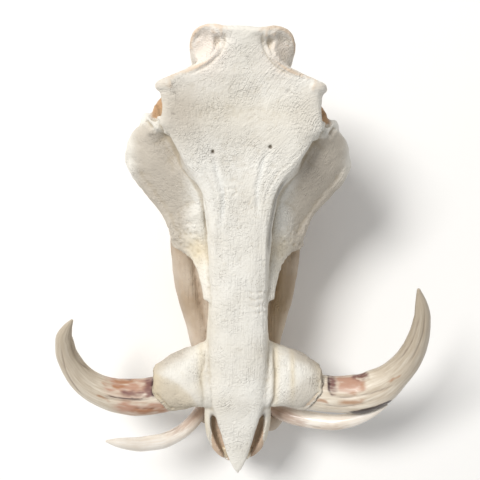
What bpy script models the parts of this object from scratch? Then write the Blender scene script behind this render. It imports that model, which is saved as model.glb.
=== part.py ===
"""A warthog skull standing on its lower jaw. Metres, +Z up, nose towards -Y, origin under the middle of the whole.

Left and right are the animal's own, so its left side is at +X. Bones are lofts and sweeps through hand-chosen
stations, melted together with a voxel remesh, then cut where the skull is open.
"""
import bmesh
import bpy
import numpy as np
from mathutils import Matrix

# Driving dimensions
SKULL_LENGTH = 0.3585  # nose tip to the top of the crest, along the brow, in metres
DRAWN_LENGTH = 350.0  # every station below is written for a skull of this many units, about one a millimetre
UNIT = SKULL_LENGTH / DRAWN_LENGTH
MIDDLE_X = 1.1  # the drawn point that becomes X = 0, Y = 0: the middle of the whole, tusks included
MIDDLE_Y = -19.14
SKEW = 0.032  # this skull grew a little crooked: its left cheek and eye sit forward of the right ones
SKEW_FROM, SKEW_TO = 0.0, 60.0  # the stations between which that sets in

BONE_GRAIN = 0.0021  # voxel that the lofts are melted with, in metres
SOCKET_GAP = 0.4  # free space round a tooth in its socket, drawn units
GROUND_DEPTH = 30.0  # how far the block that planes the jaw's underside reaches down

# Sections are superellipses: 2 is an ellipse, higher is boxier
ROUND = 2.0
SOFT_BOX = 2.7
BOX = 3.6

# Cranium. Lofts along Y: y, top z, bottom z, half width at the top, half width at the bottom, dish in the top
ROOF = [
    (-188.5, 92.5, 88.5, 1.6, 1.2, 0.0),
    (-184, 94.0, 87.5, 4.4, 3.0, 0.0),
    (-177, 95.5, 86.0, 8.2, 6.0, 0.0),
    (-168, 98.0, 86.0, 11.4, 8.6, 0.0),
    (-155, 101.0, 88.0, 15.0, 12.0, 0.0),
    (-143, 104.5, 90.0, 18.0, 15.0, 0.0),
    (-128, 110.0, 92.0, 22.0, 20.0, 0.0),
    (-105, 115.5, 95.0, 23.4, 23.0, 0.0),
    (-80, 122.0, 98.0, 23.0, 23.0, 0.0),
    (-50, 131.0, 105.0, 22.5, 23.0, 0.4),
    (-20, 141.0, 114.0, 22.0, 24.0, 0.8),
    (5, 150.0, 124.0, 22.0, 27.0, 1.4),
    (29, 160.5, 136.0, 25.5, 33.0, 2.2),
    (44, 167.5, 145.0, 31.0, 40.0, 3.2),
    (57, 174.5, 152.0, 40.0, 50.0, 4.4),
    (70, 182.0, 160.0, 50.0, 58.0, 5.6),
    (80, 187.0, 167.0, 55.0, 60.0, 6.2),
    (88, 190.0, 174.0, 55.0, 57.0, 6.4),
    (97, 193.5, 180.0, 54.5, 52.0, 6.2),
    (104, 195.5, 184.0, 55.5, 52.0, 5.6),
    (109, 197.0, 186.0, 56.5, 50.0, 4.8),
    (111.5, 197.5, 186.0, 50.0, 44.0, 3.8),
    (114, 198.0, 184.0, 40.5, 36.0, 2.8),
    (118, 199.0, 180.0, 32.0, 30.0, 1.8),
    (122.5, 201.0, 177.0, 25.6, 26.0, 1.0),
    (127.5, 203.5, 173.0, 20.0, 22.0, 0.5),
    (133, 206.5, 172.0, 15.6, 20.0, 0.2),
    (138, 209.0, 173.0, 14.6, 22.0, 0.0),
    (141.5, 210.0, 176.0, 15.5, 24.0, 0.0),
]
MUZZLE = [
    (-140, 100.0, 69.0, 20.5, 21.5, 0.0),
    (-128, 107.0, 68.5, 22.0, 22.0, 0.0),
    (-105, 112.0, 67.5, 22.5, 23.0, 0.0),
    (-80, 117.0, 67.0, 22.0, 24.5, 0.0),
    (-50, 124.0, 66.5, 21.0, 28.0, 0.0),
    (-20, 134.0, 66.5, 21.0, 34.0, 0.0),
    (5, 143.0, 66.5, 21.0, 36.0, 0.0),
    (28, 152.0, 68.0, 23.0, 34.0, 0.0),
    (44, 160.0, 74.0, 24.0, 28.0, 0.0),
    (56, 166.0, 92.0, 24.0, 22.0, 0.0),
]
PREMAXILLA = [
    (-181.5, 77.5, 71.0, 8.6, 8.0, 0.0),
    (-177, 82.0, 69.5, 14.4, 12.0, 0.0),
    (-169, 87.0, 69.0, 20.6, 17.5, 0.0),
    (-158, 92.0, 69.0, 24.0, 20.5, 0.0),
    (-145, 98.5, 69.0, 25.4, 21.5, 0.0),
    (-130, 105.0, 69.0, 25.4, 22.0, 0.0),
    (-118, 108.0, 69.0, 23.0, 21.0, 0.0),
]
BRAINCASE = [
    (40, 158.0, 104.0, 20.0, 15.0, 0.0),
    (60, 172.0, 110.0, 22.0, 16.0, 0.0),
    (80, 182.0, 116.0, 25.0, 18.0, 0.0),
    (100, 190.0, 122.0, 27.0, 22.0, 0.0),
    (115, 195.0, 126.0, 27.0, 26.0, 0.0),
    (130, 203.0, 127.0, 23.0, 28.0, 0.0),
    (139, 206.0, 127.0, 20.0, 26.0, 0.0),
]
# The nasal passage and the palate's vault are cut out
NASAL_PASSAGE = [
    (-205, 91.0, 78.0, 18.0, 13.0, 0.0),
    (-180, 91.5, 77.5, 17.0, 13.0, 0.0),
    (-168, 92.5, 77.5, 17.4, 14.0, 0.0),
    (-155, 94.5, 77.5, 19.0, 15.0, 0.0),
    (-143, 96.5, 77.5, 18.8, 15.5, 0.0),
    (-128, 97.5, 79.0, 15.5, 13.5, 0.0),
    (-108, 97.0, 82.0, 11.0, 10.0, 0.0),
]
PALATE_VAULT = [
    (-158, 71.0, 60.0, 5.0, 7.0, 0.0),
    (-120, 72.5, 60.0, 8.0, 11.0, 0.0),
    (-60, 73.5, 60.0, 9.0, 12.5, 0.0),
    (0, 75.0, 60.0, 10.0, 12.5, 0.0),
    (40, 80.0, 60.0, 10.0, 12.5, 0.0),
    (62, 98.0, 60.0, 9.0, 12.0, 0.0),
]
# The slit on each side between the nose bones and the bone that carries the front teeth
NOSE_SLIT = [
    (19.6, -141, 98.0, 1.2, 8.0, 0),
    (19.7, -146, 97.0, 2.6, 13.0, 0),
    (19.0, -153, 96.0, 3.2, 15.0, 0),
    (17.0, -161, 95.0, 3.4, 16.0, 0),
    (14.4, -169, 93.0, 3.2, 16.0, 0),
    (10.6, -177, 91.0, 2.6, 15.0, 0),
    (8.0, -186, 90.0, 2.4, 15.0, 0),
]

# Sweeps: x, y, z, half width to the side, half height, roll in degrees. Paired ones are written for the left side
CHEEK_PLATE = [
    (36.0, -2.5, 108.0, 14.0, 5.5, -38),
    (37.5, 4, 112.0, 17.0, 7.5, -40),
    (39.0, 15, 117.0, 19.0, 7.5, -40),
    (43.0, 26, 123.0, 21.5, 8.0, -40),
    (49.0, 36, 129.0, 25.5, 8.5, -38),
    (55.0, 45, 134.0, 29.0, 9.0, -37),
    (61.0, 57, 141.0, 29.5, 9.5, -38),
    (64.0, 67, 147.0, 27.0, 9.0, -42),
    (64.5, 76, 153.0, 22.5, 8.0, -49),
    (63.0, 82, 157.0, 17.0, 6.5, -55),
]
CHEEK_ARCH = [
    (47.0, 2, 103.0, 4.5, 8.0, 0),
    (57.0, 22, 105.5, 5.5, 11.0, 0),
    (70.0, 39, 110.5, 7.0, 14.0, 0),
    (80.0, 55, 116.5, 7.0, 17.0, 0),
    (77.5, 67, 122.0, 6.5, 18.5, 0),
    (72.5, 76, 128.0, 5.5, 18.5, 0),
    (66.0, 84, 133.5, 4.6, 17.0, 0),
    (61.2, 93, 140.0, 4.2, 14.5, 0),
    (57.4, 102, 147.0, 4.2, 13.0, 0),
    (51.5, 110, 153.0, 4.6, 13.0, 0),
    (44.0, 115.5, 158.0, 5.5, 15.0, 0),
    (34.5, 118.5, 160.0, 6.5, 18.0, 0),
    (22.0, 121.0, 158.0, 8.0, 20.0, 0),
]
# The floor under the eye socket, and the hollows that the jaw muscle filled beside the crest
SOCKET_FLOOR = (48.0, 91.0, 152.0, 21.0, 17.0, 13.0)
TEMPLE_CUP = [
    (24.0, 136.0, 214.0, 6.5, 6.0, 0),
    (24.5, 133.0, 203.0, 7.6, 7.0, 0),
    (25.5, 127.0, 192.0, 8.0, 8.5, 0),
    (27.5, 119.0, 181.0, 8.6, 10.5, 0),
    (30.0, 109.0, 171.0, 9.5, 12.5, 0),
    (33.0, 98.0, 162.0, 9.0, 11.0, 0),
]
BROW_HOOK = [
    (48.0, 107.0, 192.0, 6.0, 5.0, 0),
    (54.0, 107.5, 189.5, 5.0, 5.0, 0),
    (57.0, 107.0, 184.0, 3.6, 4.2, 0),
    (57.8, 105.5, 176.0, 2.6, 3.0, 0),
]
TUSK_FLANGE = [
    (10.0, -106, 92.0, 27.0, 17.0, 0),
    (24.0, -106, 92.0, 27.0, 18.0, 0),
    (36.0, -107.5, 91.0, 25.8, 18.0, 0),
    (46.0, -111, 90.0, 23.8, 18.0, 0),
    (54.0, -115.5, 89.0, 20.5, 18.0, 0),
    (58.5, -113.5, 88.5, 16.0, 17.5, 0),
    (63.5, -112, 88.0, 13.0, 17.0, 0),
    (67.0, -111, 88.0, 10.0, 16.0, 0),
]
CREST_WING = [
    (4.0, 139.0, 206.0, 4.0, 4.5, 0),
    (13.0, 139.8, 206.0, 4.0, 4.2, 0),
    (21.0, 141.2, 205.0, 4.0, 3.8, 0),
    (27.5, 140.2, 202.0, 3.8, 3.6, 0),
    (31.5, 137.2, 197.0, 3.5, 3.6, 0),
    (33.4, 133.0, 188.0, 3.3, 3.8, 0),
    (32.6, 128.5, 176.0, 3.3, 5.0, 0),
    (30.5, 123.5, 163.0, 4.0, 6.5, 0),
]
PTERYGOID_PLATE = [
    (10.5, 34, 88.0, 3.2, 14.0, 0),
    (11.5, 46, 93.0, 3.2, 20.0, 0),
    (13.0, 60, 98.0, 3.0, 21.0, 0),
    (14.5, 72, 103.0, 3.0, 20.0, 0),
    (15.5, 82, 112.0, 3.0, 14.0, 0),
]
# Upright sweeps: x, y, z, half width to the side, half depth along y, roll
NAPE_SHIELD = [
    (0.0, 140.0, 207.0, 25.0, 3.0, 0),
    (0.0, 139.5, 199.0, 30.5, 4.0, 0),
    (0.0, 137.5, 187.0, 33.5, 5.5, 0),
    (0.0, 134.5, 172.0, 34.5, 7.5, 0),
    (0.0, 131.5, 156.0, 34.0, 10.0, 0),
    (0.0, 130.5, 142.0, 31.0, 12.0, 0),
    (0.0, 130.0, 128.0, 22.0, 12.0, 0),
]
NECK_SPUR = [
    (29.0, 127.5, 142.0, 8.0, 7.0, 0),
    (30.0, 126.5, 124.0, 6.2, 5.5, 0),
    (30.5, 125.0, 106.0, 4.4, 4.2, 0),
    (31.0, 124.0, 91.0, 2.8, 2.8, 0),
]
# Balls: x, y, z and three radii
NECK_KNUCKLE = (12.5, 141.5, 130.0, 8.5, 9.0, 12.0)
EAR_BULB = (19.0, 110.0, 121.0, 7.5, 10.0, 9.0)
HINGE_PAD = (43.0, 109.0, 148.5, 13.0, 9.0, 8.5)
EYE_SOCKET = (60.0, 98.0, 167.5, 25.0, 19.0, 17.5)
SPINE_HOLE = (0.0, 150.0, 139.0, 9.5, 22.0, 8.5)
CHEEK_HOLE = (33.0, -34.0, 103.0, 6.5, 13.0, 5.0)

# Lower jaw
JAW_BODY = [
    (12.0, -158, 40.0, 9.0, 12.0, 0),
    (18.0, -143, 34.0, 12.0, 17.0, 0),
    (21.0, -125, 30.0, 12.5, 20.0, 0),
    (25.5, -102, 26.5, 11.5, 23.0, 0),
    (32.5, -75, 26.5, 10.5, 24.0, 0),
    (41.0, -45, 27.5, 10.5, 25.0, 0),
    (45.5, -15, 28.5, 10.5, 26.0, 0),
    (47.0, 15, 31.0, 10.0, 29.5, 0),
    (48.0, 40, 34.0, 8.8, 37.0, 0),
    (48.5, 62, 41.5, 7.6, 46.5, 0),
    (48.5, 80, 48.0, 6.8, 49.0, 0),
    (48.0, 94, 60.0, 5.5, 40.0, 0),
]
JAW_CHIN = [
    (-172, 44.0, 35.0, 16.0, 12.0, 1.0),
    (-164, 49.0, 27.0, 22.5, 17.0, 3.0),
    (-150, 52.0, 17.0, 27.5, 21.0, 5.0),
    (-135, 53.5, 8.0, 27.0, 22.0, 6.0),
    (-115, 51.0, -2.0, 24.0, 20.0, 6.0),
    (-98, 44.0, -2.0, 22.0, 18.0, 5.0),
    (-86, 36.0, 4.0, 16.0, 14.0, 3.0),
]
TOOTH_SHELF = [
    (17.0, -100, 36.0, 7.0, 13.0, 0),
    (19.5, -75, 37.0, 8.0, 15.0, 0),
    (22.5, -45, 38.5, 9.5, 15.0, 0),
    (25.0, -15, 39.5, 11.0, 15.0, 0),
    (27.5, 15, 40.5, 12.0, 14.5, 0),
    (30.0, 42, 42.0, 12.0, 14.0, 0),
    (36.0, 60, 46.0, 10.0, 12.0, 0),
]
JAW_BRANCH = [
    (48.0, 66, 10.0, 6.5, 16.0, 0),
    (48.5, 71, 26.0, 6.8, 25.0, 0),
    (49.0, 76, 48.0, 6.4, 30.0, 0),
    (48.5, 80, 68.0, 5.6, 30.0, 0),
    (47.5, 84, 86.0, 5.0, 26.5, 0),
    (45.8, 89, 104.0, 4.6, 22.0, 0),
    (43.8, 94, 118.0, 4.6, 17.0, 0),
    (43.2, 101, 129.0, 4.4, 9.5, 0),
]
JAW_HORN = [
    (45.5, 76, 100.0, 3.8, 12.0, 0),
    (43.0, 73, 118.0, 3.2, 8.5, 0),
    (41.5, 74, 131.0, 2.4, 5.0, 0),
]
JAW_HINGE = [
    (31.0, 104, 130.0, 4.0, 3.5, 0),
    (36.0, 105, 131.0, 6.0, 5.5, 0),
    (43.0, 105.5, 131.5, 7.0, 6.5, 0),
    (50.0, 105, 130.5, 6.0, 5.5, 0),
    (54.5, 104, 129.0, 3.8, 3.5, 0),
]
TUSK_ROOT_SWELLING = (28.0, -148.5, 43.0, 12.0, 17.0, 13.0)
NERVE_HOLE = (38.5, -70.0, 28.0, 5.0, 6.0, 4.0)

# Tusks: x, y, z, half width, half height, roll, from the root outwards. The two sides grew apart, so each has its own
LEFT_UPPER_TUSK = [
    (34.0, -116.0, 86.0, 12.5, 11.5, 0),
    (48.0, -120.5, 86.5, 14.0, 13.0, 0),
    (62.0, -124.0, 87.5, 14.8, 13.6, 0),
    (80.0, -125.6, 90.0, 14.8, 13.4, 0),
    (97.5, -123.4, 94.0, 14.4, 12.8, 0),
    (112.5, -116.4, 100.0, 13.4, 12.0, 0),
    (123.6, -107.6, 107.5, 12.0, 11.0, 0),
    (131.5, -95.0, 118.0, 10.4, 9.8, 0),
    (135.6, -81.5, 129.0, 9.0, 8.6, 0),
    (136.8, -69.5, 138.0, 7.6, 7.2, 0),
    (136.5, -59.0, 145.5, 6.3, 5.8, 0),
    (134.2, -48.0, 152.0, 4.6, 4.2, 0),
    (130.5, -36.5, 158.0, 1.2, 1.2, 0),
]
RIGHT_UPPER_TUSK = [
    (-34.0, -116.0, 86.0, 12.5, 11.5, 0),
    (-48.0, -120.5, 86.5, 14.2, 13.0, 0),
    (-62.0, -125.0, 87.0, 15.0, 13.6, 0),
    (-80.0, -127.0, 88.5, 15.0, 13.4, 0),
    (-95.0, -125.4, 91.0, 13.8, 12.4, 0),
    (-107.5, -121.4, 94.0, 12.4, 11.4, 0),
    (-121.0, -112.4, 99.0, 10.8, 10.2, 0),
    (-130.0, -99.5, 105.0, 9.2, 9.0, 0),
    (-134.6, -86.0, 111.5, 7.9, 7.8, 0),
    (-134.9, -76.5, 117.0, 6.6, 6.4, 0),
    (-131.8, -68.0, 122.5, 4.0, 4.0, 0),
    (-127.2, -61.0, 128.0, 1.0, 1.0, 0),
]
LEFT_LOWER_TUSK = [
    (23.0, -138.0, 45.0, 5.2, 6.0, 0),
    (31.0, -143.0, 53.0, 5.8, 6.4, 0),
    (40.0, -147.0, 60.0, 6.6, 7.0, 0),
    (58.0, -150.2, 68.0, 7.0, 7.4, 0),
    (77.0, -151.4, 76.0, 6.6, 6.8, 0),
    (93.0, -148.4, 83.0, 5.6, 5.6, 0),
    (104.0, -143.8, 88.5, 4.4, 4.4, 0),
    (112.5, -138.8, 93.5, 2.9, 2.9, 0),
    (120.4, -133.0, 98.5, 0.8, 0.8, 0),
]
RIGHT_LOWER_TUSK = [
    (-22.0, -137.0, 44.0, 5.0, 5.8, 0),
    (-28.5, -144.0, 52.0, 5.4, 6.2, 0),
    (-36.0, -152.5, 60.0, 5.8, 6.6, 0),
    (-48.0, -161.5, 67.0, 6.0, 7.0, 0),
    (-64.8, -166.6, 75.0, 6.2, 7.0, 0),
    (-77.3, -166.8, 81.0, 5.9, 6.4, 0),
    (-88.0, -165.0, 87.0, 4.9, 5.2, 0),
    (-96.6, -162.8, 92.0, 3.5, 3.6, 0),
    (-105.2, -160.3, 97.0, 0.8, 0.8, 0),
]

# Cheek teeth, lofts along Y like the bones but off to the side: centre x, then y, top z, bottom z, two half widths
UPPER_MOLAR_X = 20.5
UPPER_MOLAR = [
    (-7, 74.0, 59.0, 5.0, 5.5, 0.0),
    (-2, 75.0, 58.6, 6.6, 7.2, 0.0),
    (16, 75.0, 58.6, 6.4, 7.0, 0.0),
    (34, 75.0, 58.8, 5.2, 5.8, 0.0),
    (41, 74.0, 59.4, 3.4, 3.8, 0.0),
]
UPPER_PREMOLAR = [
    (-29, 73.0, 60.0, 3.4, 3.6, 0.0),
    (-24, 74.0, 59.0, 5.4, 5.8, 0.0),
    (-14, 74.0, 59.0, 5.4, 5.8, 0.0),
    (-9.4, 73.0, 60.0, 3.6, 3.8, 0.0),
]
LOWER_MOLAR_X = 21.5
LOWER_MOLAR = [
    (-4, 57.4, 44.0, 4.4, 4.0, 0.0),
    (1, 58.0, 43.0, 5.8, 5.4, 0.0),
    (20, 58.0, 43.0, 5.8, 5.4, 0.0),
    (40, 57.8, 43.0, 4.8, 4.4, 0.0),
    (48, 57.0, 44.0, 3.0, 2.8, 0.0),
]
LOWER_PREMOLAR = [
    (-24, 57.0, 44.0, 3.0, 3.0, 0.0),
    (-19, 58.0, 43.0, 4.8, 4.6, 0.0),
    (-11, 58.0, 43.0, 4.8, 4.6, 0.0),
    (-6.2, 57.0, 44.0, 3.2, 3.2, 0.0),
]
# Front teeth: sweeps from the root outwards
UPPER_INCISOR = [
    (9.5, -171.0, 76.0, 3.4, 3.4, 0),
    (8.6, -177.0, 72.0, 3.6, 3.4, 0),
    (7.0, -181.5, 66.0, 3.4, 3.0, 0),
    (5.0, -184.0, 60.0, 2.8, 2.2, 0),
]
LOWER_INCISORS = {
    "inner": [
        (3.8, -158.0, 42.0, 2.6, 2.8, 0),
        (3.9, -172.0, 44.0, 2.9, 2.9, 0),
        (3.9, -181.0, 46.5, 3.2, 2.4, 0),
        (3.6, -188.0, 49.5, 2.8, 1.2, 0),
    ],
    "outer": [
        (9.6, -156.0, 42.0, 2.6, 2.8, 0),
        (10.6, -170.0, 44.0, 2.9, 2.9, 0),
        (11.0, -178.5, 46.5, 3.2, 2.4, 0),
        (10.6, -185.0, 49.5, 2.8, 1.2, 0),
    ],
}

SIDES = {"left": 1, "right": -1}
ALONG_Y = (0.0, 0.0, 1.0)  # the direction that a lying sweep keeps upright
ALONG_Z = (0.0, 1.0, 0.0)  # and the one that an upright sweep keeps level
BACKWARD = (0.0, 1.0, 0.0)
SIDEWAYS = (1.0, 0.0, 0.0)


def curve_through(stations, steps, by_first_column):
    """The stations' rows, read at even steps along a smooth curve that never overshoots them.

    Each column follows a cubic whose slope at a station is the harmonic mean of the slopes beside it, and is level
    where they differ in sign. The curve runs by the first column, or else by the distance between the stations.
    """
    rows = np.asarray(stations, float)
    if by_first_column:
        places = rows[:, 0]
    else:
        gaps = np.linalg.norm(np.diff(rows[:, :3], axis=0), axis=1)
        places = np.concatenate([[0.0], np.cumsum(gaps)])
    step = np.diff(places)[:, None]
    slope = np.diff(rows, axis=0) / step
    before, after = slope[:-1], slope[1:]
    same_way = before * after > 0
    mean = 2 * before * after / np.where(same_way, before + after, 1.0)
    tangent = np.vstack([slope[:1], np.where(same_way, mean, 0.0), slope[-1:]])
    at = np.linspace(places[0], places[-1], steps)
    i = np.clip(np.searchsorted(places, at, side="right") - 1, 0, len(places) - 2)
    width = step[i]
    t = (at - places[i])[:, None] / width
    return (
        (1 + 2 * t) * (1 - t) ** 2 * rows[i]
        + t * (1 - t) ** 2 * width * tangent[i]
        + t**2 * (3 - 2 * t) * rows[i + 1]
        + t**2 * (t - 1) * width * tangent[i + 1]
    )


def oval(around, power):
    """A superellipse's two coordinates, from -1 to 1, at even angles."""
    angle = np.linspace(0, 2 * np.pi, around, endpoint=False)
    cosine, sine = np.cos(angle), np.sin(angle)
    return (
        np.sign(cosine) * np.abs(cosine) ** (2 / power),
        np.sign(sine) * np.abs(sine) ** (2 / power),
    )


def domed(rings, share=0.45):
    """The rings with a few smaller ones past each end, so that the ends are round."""
    turned = np.radians([35.0, 65.0, 84.0])
    ends = []
    for last, inner in ((rings[-1], rings[-2]), (rings[0], rings[1])):
        centre = last.mean(axis=0)
        outward = centre - inner.mean(axis=0)
        outward = outward / max(np.linalg.norm(outward), 1e-9)
        reach = share * np.linalg.norm(last - centre, axis=1).min()
        ends.append(
            [centre + (last - centre) * np.cos(a) + outward * reach * np.sin(a) for a in turned]
        )
    return np.concatenate([ends[1][::-1], rings, ends[0]])


def loft(stations, steps=30, around=20, power=BOX, aside=0.0):
    """Rings across Y: a superellipse between each station's top and bottom, as wide there as the station says."""
    y, top, bottom, half_top, half_bottom, dish = curve_through(stations, steps, True).T[:, :, None]
    across, up = oval(around, power)
    half = half_bottom + (half_top - half_bottom) * (up + 1) / 2
    x = aside + half * across
    z = (top + bottom) / 2 + (top - bottom) / 2 * up - dish * (1 - across**2) * np.maximum(up, 0)
    return np.stack([x, np.broadcast_to(y, x.shape), z], axis=2)


def sweep(stations, steps=24, around=16, power=ROUND, keep=ALONG_Y, grow=0.0, facing=None):
    """Rings across the line through the stations, each a superellipse turned by the station's roll.

    They are square to the line, or to the one direction that facing names.
    """
    rows = curve_through(stations, steps, False)
    line, half_side, half_up = rows[:, :3], rows[:, 3:4] + grow, rows[:, 4:5] + grow
    roll = np.radians(rows[:, 5:6])
    forward = np.gradient(line, axis=0) if facing is None else line * 0 + np.array(facing)
    forward /= np.linalg.norm(forward, axis=1, keepdims=True)
    side = np.cross(forward, np.array(keep))
    side /= np.linalg.norm(side, axis=1, keepdims=True)
    upward = np.cross(side, forward)
    across, up = oval(around, power)
    s, u = half_side * across, half_up * up
    s, u = s * np.cos(roll) - u * np.sin(roll), s * np.sin(roll) + u * np.cos(roll)
    return line[:, None] + s[:, :, None] * side[:, None] + u[:, :, None] * upward[:, None]


def placed(points):
    """Drawn units to metres in the object's own frame, with the growth's slight crookedness."""
    points = np.array(points, float)
    rear = np.clip((points[..., 1] - SKEW_FROM) / (SKEW_TO - SKEW_FROM), 0.0, 1.0)
    points[..., 1] -= MIDDLE_Y + SKEW * rear * points[..., 0]
    points[..., 0] -= MIDDLE_X
    return points * UNIT


def add_shell(bm, rings):
    """Skins the rings with quads and closes both ends."""
    count, around = rings.shape[:2]
    points = placed(rings.reshape(-1, 3))
    verts = [bm.verts.new(p) for p in points]
    faces = []
    for r in range(count - 1):
        for a in range(around):
            b = (a + 1) % around
            quad = (r * around + a, r * around + b, (r + 1) * around + b, (r + 1) * around + a)
            faces.append(bm.faces.new([verts[k] for k in quad]))
    faces.append(bm.faces.new([verts[a] for a in range(around)][::-1]))
    faces.append(bm.faces.new([verts[(count - 1) * around + a] for a in range(around)]))
    bmesh.ops.recalc_face_normals(bm, faces=faces)


def ball(x, y, z, radius_x, radius_y, radius_z, steps=12, around=20):
    """Rings of an ellipsoid, from just above its lowest point to just below its highest."""
    rise = np.linspace(np.pi - 0.08, 0.08, steps)[:, None]
    turn = np.linspace(0, 2 * np.pi, around, endpoint=False)
    return np.stack(
        [
            x + radius_x * np.sin(rise) * np.cos(turn),
            y + radius_y * np.sin(rise) * np.sin(turn),
            z + radius_z * np.cos(rise) + 0 * turn,
        ],
        axis=2,
    )


def mirrored(shapes):
    """Each shape with its twin on the other side."""
    return [rings * np.array([side, 1.0, 1.0]) for rings in shapes for side in (1.0, -1.0)]


def clear_scene():
    for thing in list(bpy.data.objects):
        bpy.data.objects.remove(thing, do_unlink=True)


def make_collection(name):
    made = bpy.data.collections.new(name)
    bpy.context.scene.collection.children.link(made)
    return made


def make_material(name, colour, roughness):
    """A plain Principled BSDF. Colours are linear."""
    made = bpy.data.materials.new(name)
    made.use_nodes = True
    shader = made.node_tree.nodes["Principled BSDF"]
    shader.inputs["Base Color"].default_value = (*colour, 1.0)
    shader.inputs["Roughness"].default_value = roughness
    shader.inputs["Metallic"].default_value = 0.0
    return made


def make_object(name, bm, home, material=None):
    mesh = bpy.data.meshes.new(name)
    bm.to_mesh(mesh)
    bm.free()
    made = bpy.data.objects.new(name, mesh)
    home.objects.link(made)
    if material:
        mesh.materials.append(material)
        mesh.shade_smooth()
    else:
        made.hide_render = True
        made.display_type = "WIRE"
    return made


def make_raw(name, shapes, home, material=None):
    """One object that holds every shape as a closed shell."""
    raw = bmesh.new()
    for rings in shapes:
        add_shell(raw, rings)
    return make_object(name, raw, home, material)


def make_cutters(name, shapes, home):
    """A collection of hidden solids, one for each shape, that a Boolean takes away together."""
    inner = bpy.data.collections.new(name)
    home.children.link(inner)
    for number, rings in enumerate(shapes, start=1):
        make_raw(f"{name} {number}", [rings], inner)
    return inner


def melt(bone):
    """Joins what overlaps into one skin."""
    remesh = bone.modifiers.new("melt", "REMESH")
    remesh.mode = "VOXEL"
    remesh.voxel_size = BONE_GRAIN
    remesh.use_smooth_shade = True


def smooth(bone, rounds):
    soften = bone.modifiers.new("soften", "SMOOTH")
    soften.factor = 0.5
    soften.iterations = rounds


def cut(bone, cutters):
    hollow = bone.modifiers.new("cut", "BOOLEAN")
    hollow.operation = "DIFFERENCE"
    hollow.operand_type = "COLLECTION"
    hollow.collection = cutters
    hollow.solver = "EXACT"


def thin_out(bone, share):
    fewer = bone.modifiers.new("fewer faces", "DECIMATE")
    fewer.decimate_type = "COLLAPSE"
    fewer.ratio = share
    fewer.use_collapse_triangulate = True


def make_cranium(home, cutters, bone_material, sockets):
    """The skull without its lower jaw: one fused bone."""
    single = [
        domed(loft(ROOF, steps=70, around=28, power=BOX), share=0.2),
        loft(MUZZLE, power=SOFT_BOX),
        domed(loft(PREMAXILLA, power=SOFT_BOX)),
        domed(loft(BRAINCASE, power=SOFT_BOX)),
        domed(sweep(NAPE_SHIELD, keep=ALONG_Z, power=SOFT_BOX)),
    ]
    paired = [
        domed(sweep(CHEEK_PLATE, power=SOFT_BOX, around=20, facing=BACKWARD)),
        domed(sweep(CHEEK_ARCH, power=SOFT_BOX, steps=36)),
        domed(sweep(BROW_HOOK)),
        domed(sweep(TUSK_FLANGE, power=SOFT_BOX, facing=SIDEWAYS), share=0.25),
        domed(sweep(CREST_WING)),
        domed(sweep(PTERYGOID_PLATE, power=SOFT_BOX)),
        domed(sweep(NECK_SPUR, keep=ALONG_Z)),
        ball(*NECK_KNUCKLE),
        ball(*EAR_BULB),
        ball(*SOCKET_FLOOR),
        ball(*HINGE_PAD),
    ]
    cranium = make_raw("cranium", single + mirrored(paired), home, bone_material)

    single = [
        loft(NASAL_PASSAGE, power=SOFT_BOX),
        loft(PALATE_VAULT, power=SOFT_BOX),
        ball(*SPINE_HOLE),
    ]
    paired = [
        sweep(NOSE_SLIT, facing=BACKWARD, power=SOFT_BOX),
        domed(sweep(TEMPLE_CUP, keep=ALONG_Z)),
        ball(*EYE_SOCKET),
        ball(*CHEEK_HOLE),
    ]
    melt(cranium)
    cut(cranium, make_cutters("cranium hollow", single + mirrored(paired), cutters))
    melt(cranium)
    smooth(cranium, 6)
    thin_out(cranium, 0.045)
    cut(cranium, sockets)
    return cranium


def make_lower_jaw(home, cutters, bone_material, sockets):
    """Both halves of the jaw, fused at the chin, with its underside planed level where it stands."""
    paired = [
        domed(sweep(JAW_BODY, power=SOFT_BOX, steps=36)),
        domed(sweep(TOOTH_SHELF, power=SOFT_BOX)),
        domed(sweep(JAW_BRANCH, keep=ALONG_Z, power=SOFT_BOX)),
        domed(sweep(JAW_HORN, keep=ALONG_Z)),
        domed(sweep(JAW_HINGE)),
        ball(*TUSK_ROOT_SWELLING),
    ]
    chin = domed(loft(JAW_CHIN, power=SOFT_BOX))
    jaw = make_raw("lower_jaw", [chin] + mirrored(paired), home, bone_material)

    ground = bmesh.new()
    block = Matrix.Translation((0.0, 0.0, -GROUND_DEPTH * UNIT / 2))
    block = block @ Matrix.Diagonal((0.4, 0.6, GROUND_DEPTH * UNIT, 1.0))
    bmesh.ops.create_cube(ground, size=1.0, matrix=block)
    planing = bpy.data.collections.new("ground")
    cutters.children.link(planing)
    make_object("ground", ground, planing)

    melt(jaw)
    cut(jaw, make_cutters("jaw hollow", mirrored([ball(*NERVE_HOLE)]), cutters))
    melt(jaw)
    smooth(jaw, 5)
    thin_out(jaw, 0.0205)
    cut(jaw, planing)
    cut(jaw, sockets)
    return jaw


def make_tooth(name, rings, socket_rings, home, material, sockets):
    """A tooth, and the slightly larger shape that its socket is cut with."""
    make_raw(name, [rings], home, material)
    make_raw(name + " socket", [socket_rings], sockets)


def make_tusks(home, ivory, upper_sockets, lower_sockets):
    for name, stations, sockets in (
        ("upper_tusk_left", LEFT_UPPER_TUSK, upper_sockets),
        ("upper_tusk_right", RIGHT_UPPER_TUSK, upper_sockets),
        ("lower_tusk_left", LEFT_LOWER_TUSK, lower_sockets),
        ("lower_tusk_right", RIGHT_LOWER_TUSK, lower_sockets),
    ):
        shape = {"steps": 15, "around": 10, "power": ROUND}
        tusk = sweep(stations, **shape)
        socket = sweep(stations, grow=SOCKET_GAP, **shape)
        make_tooth(name, tusk, socket, home, ivory, sockets)


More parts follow.
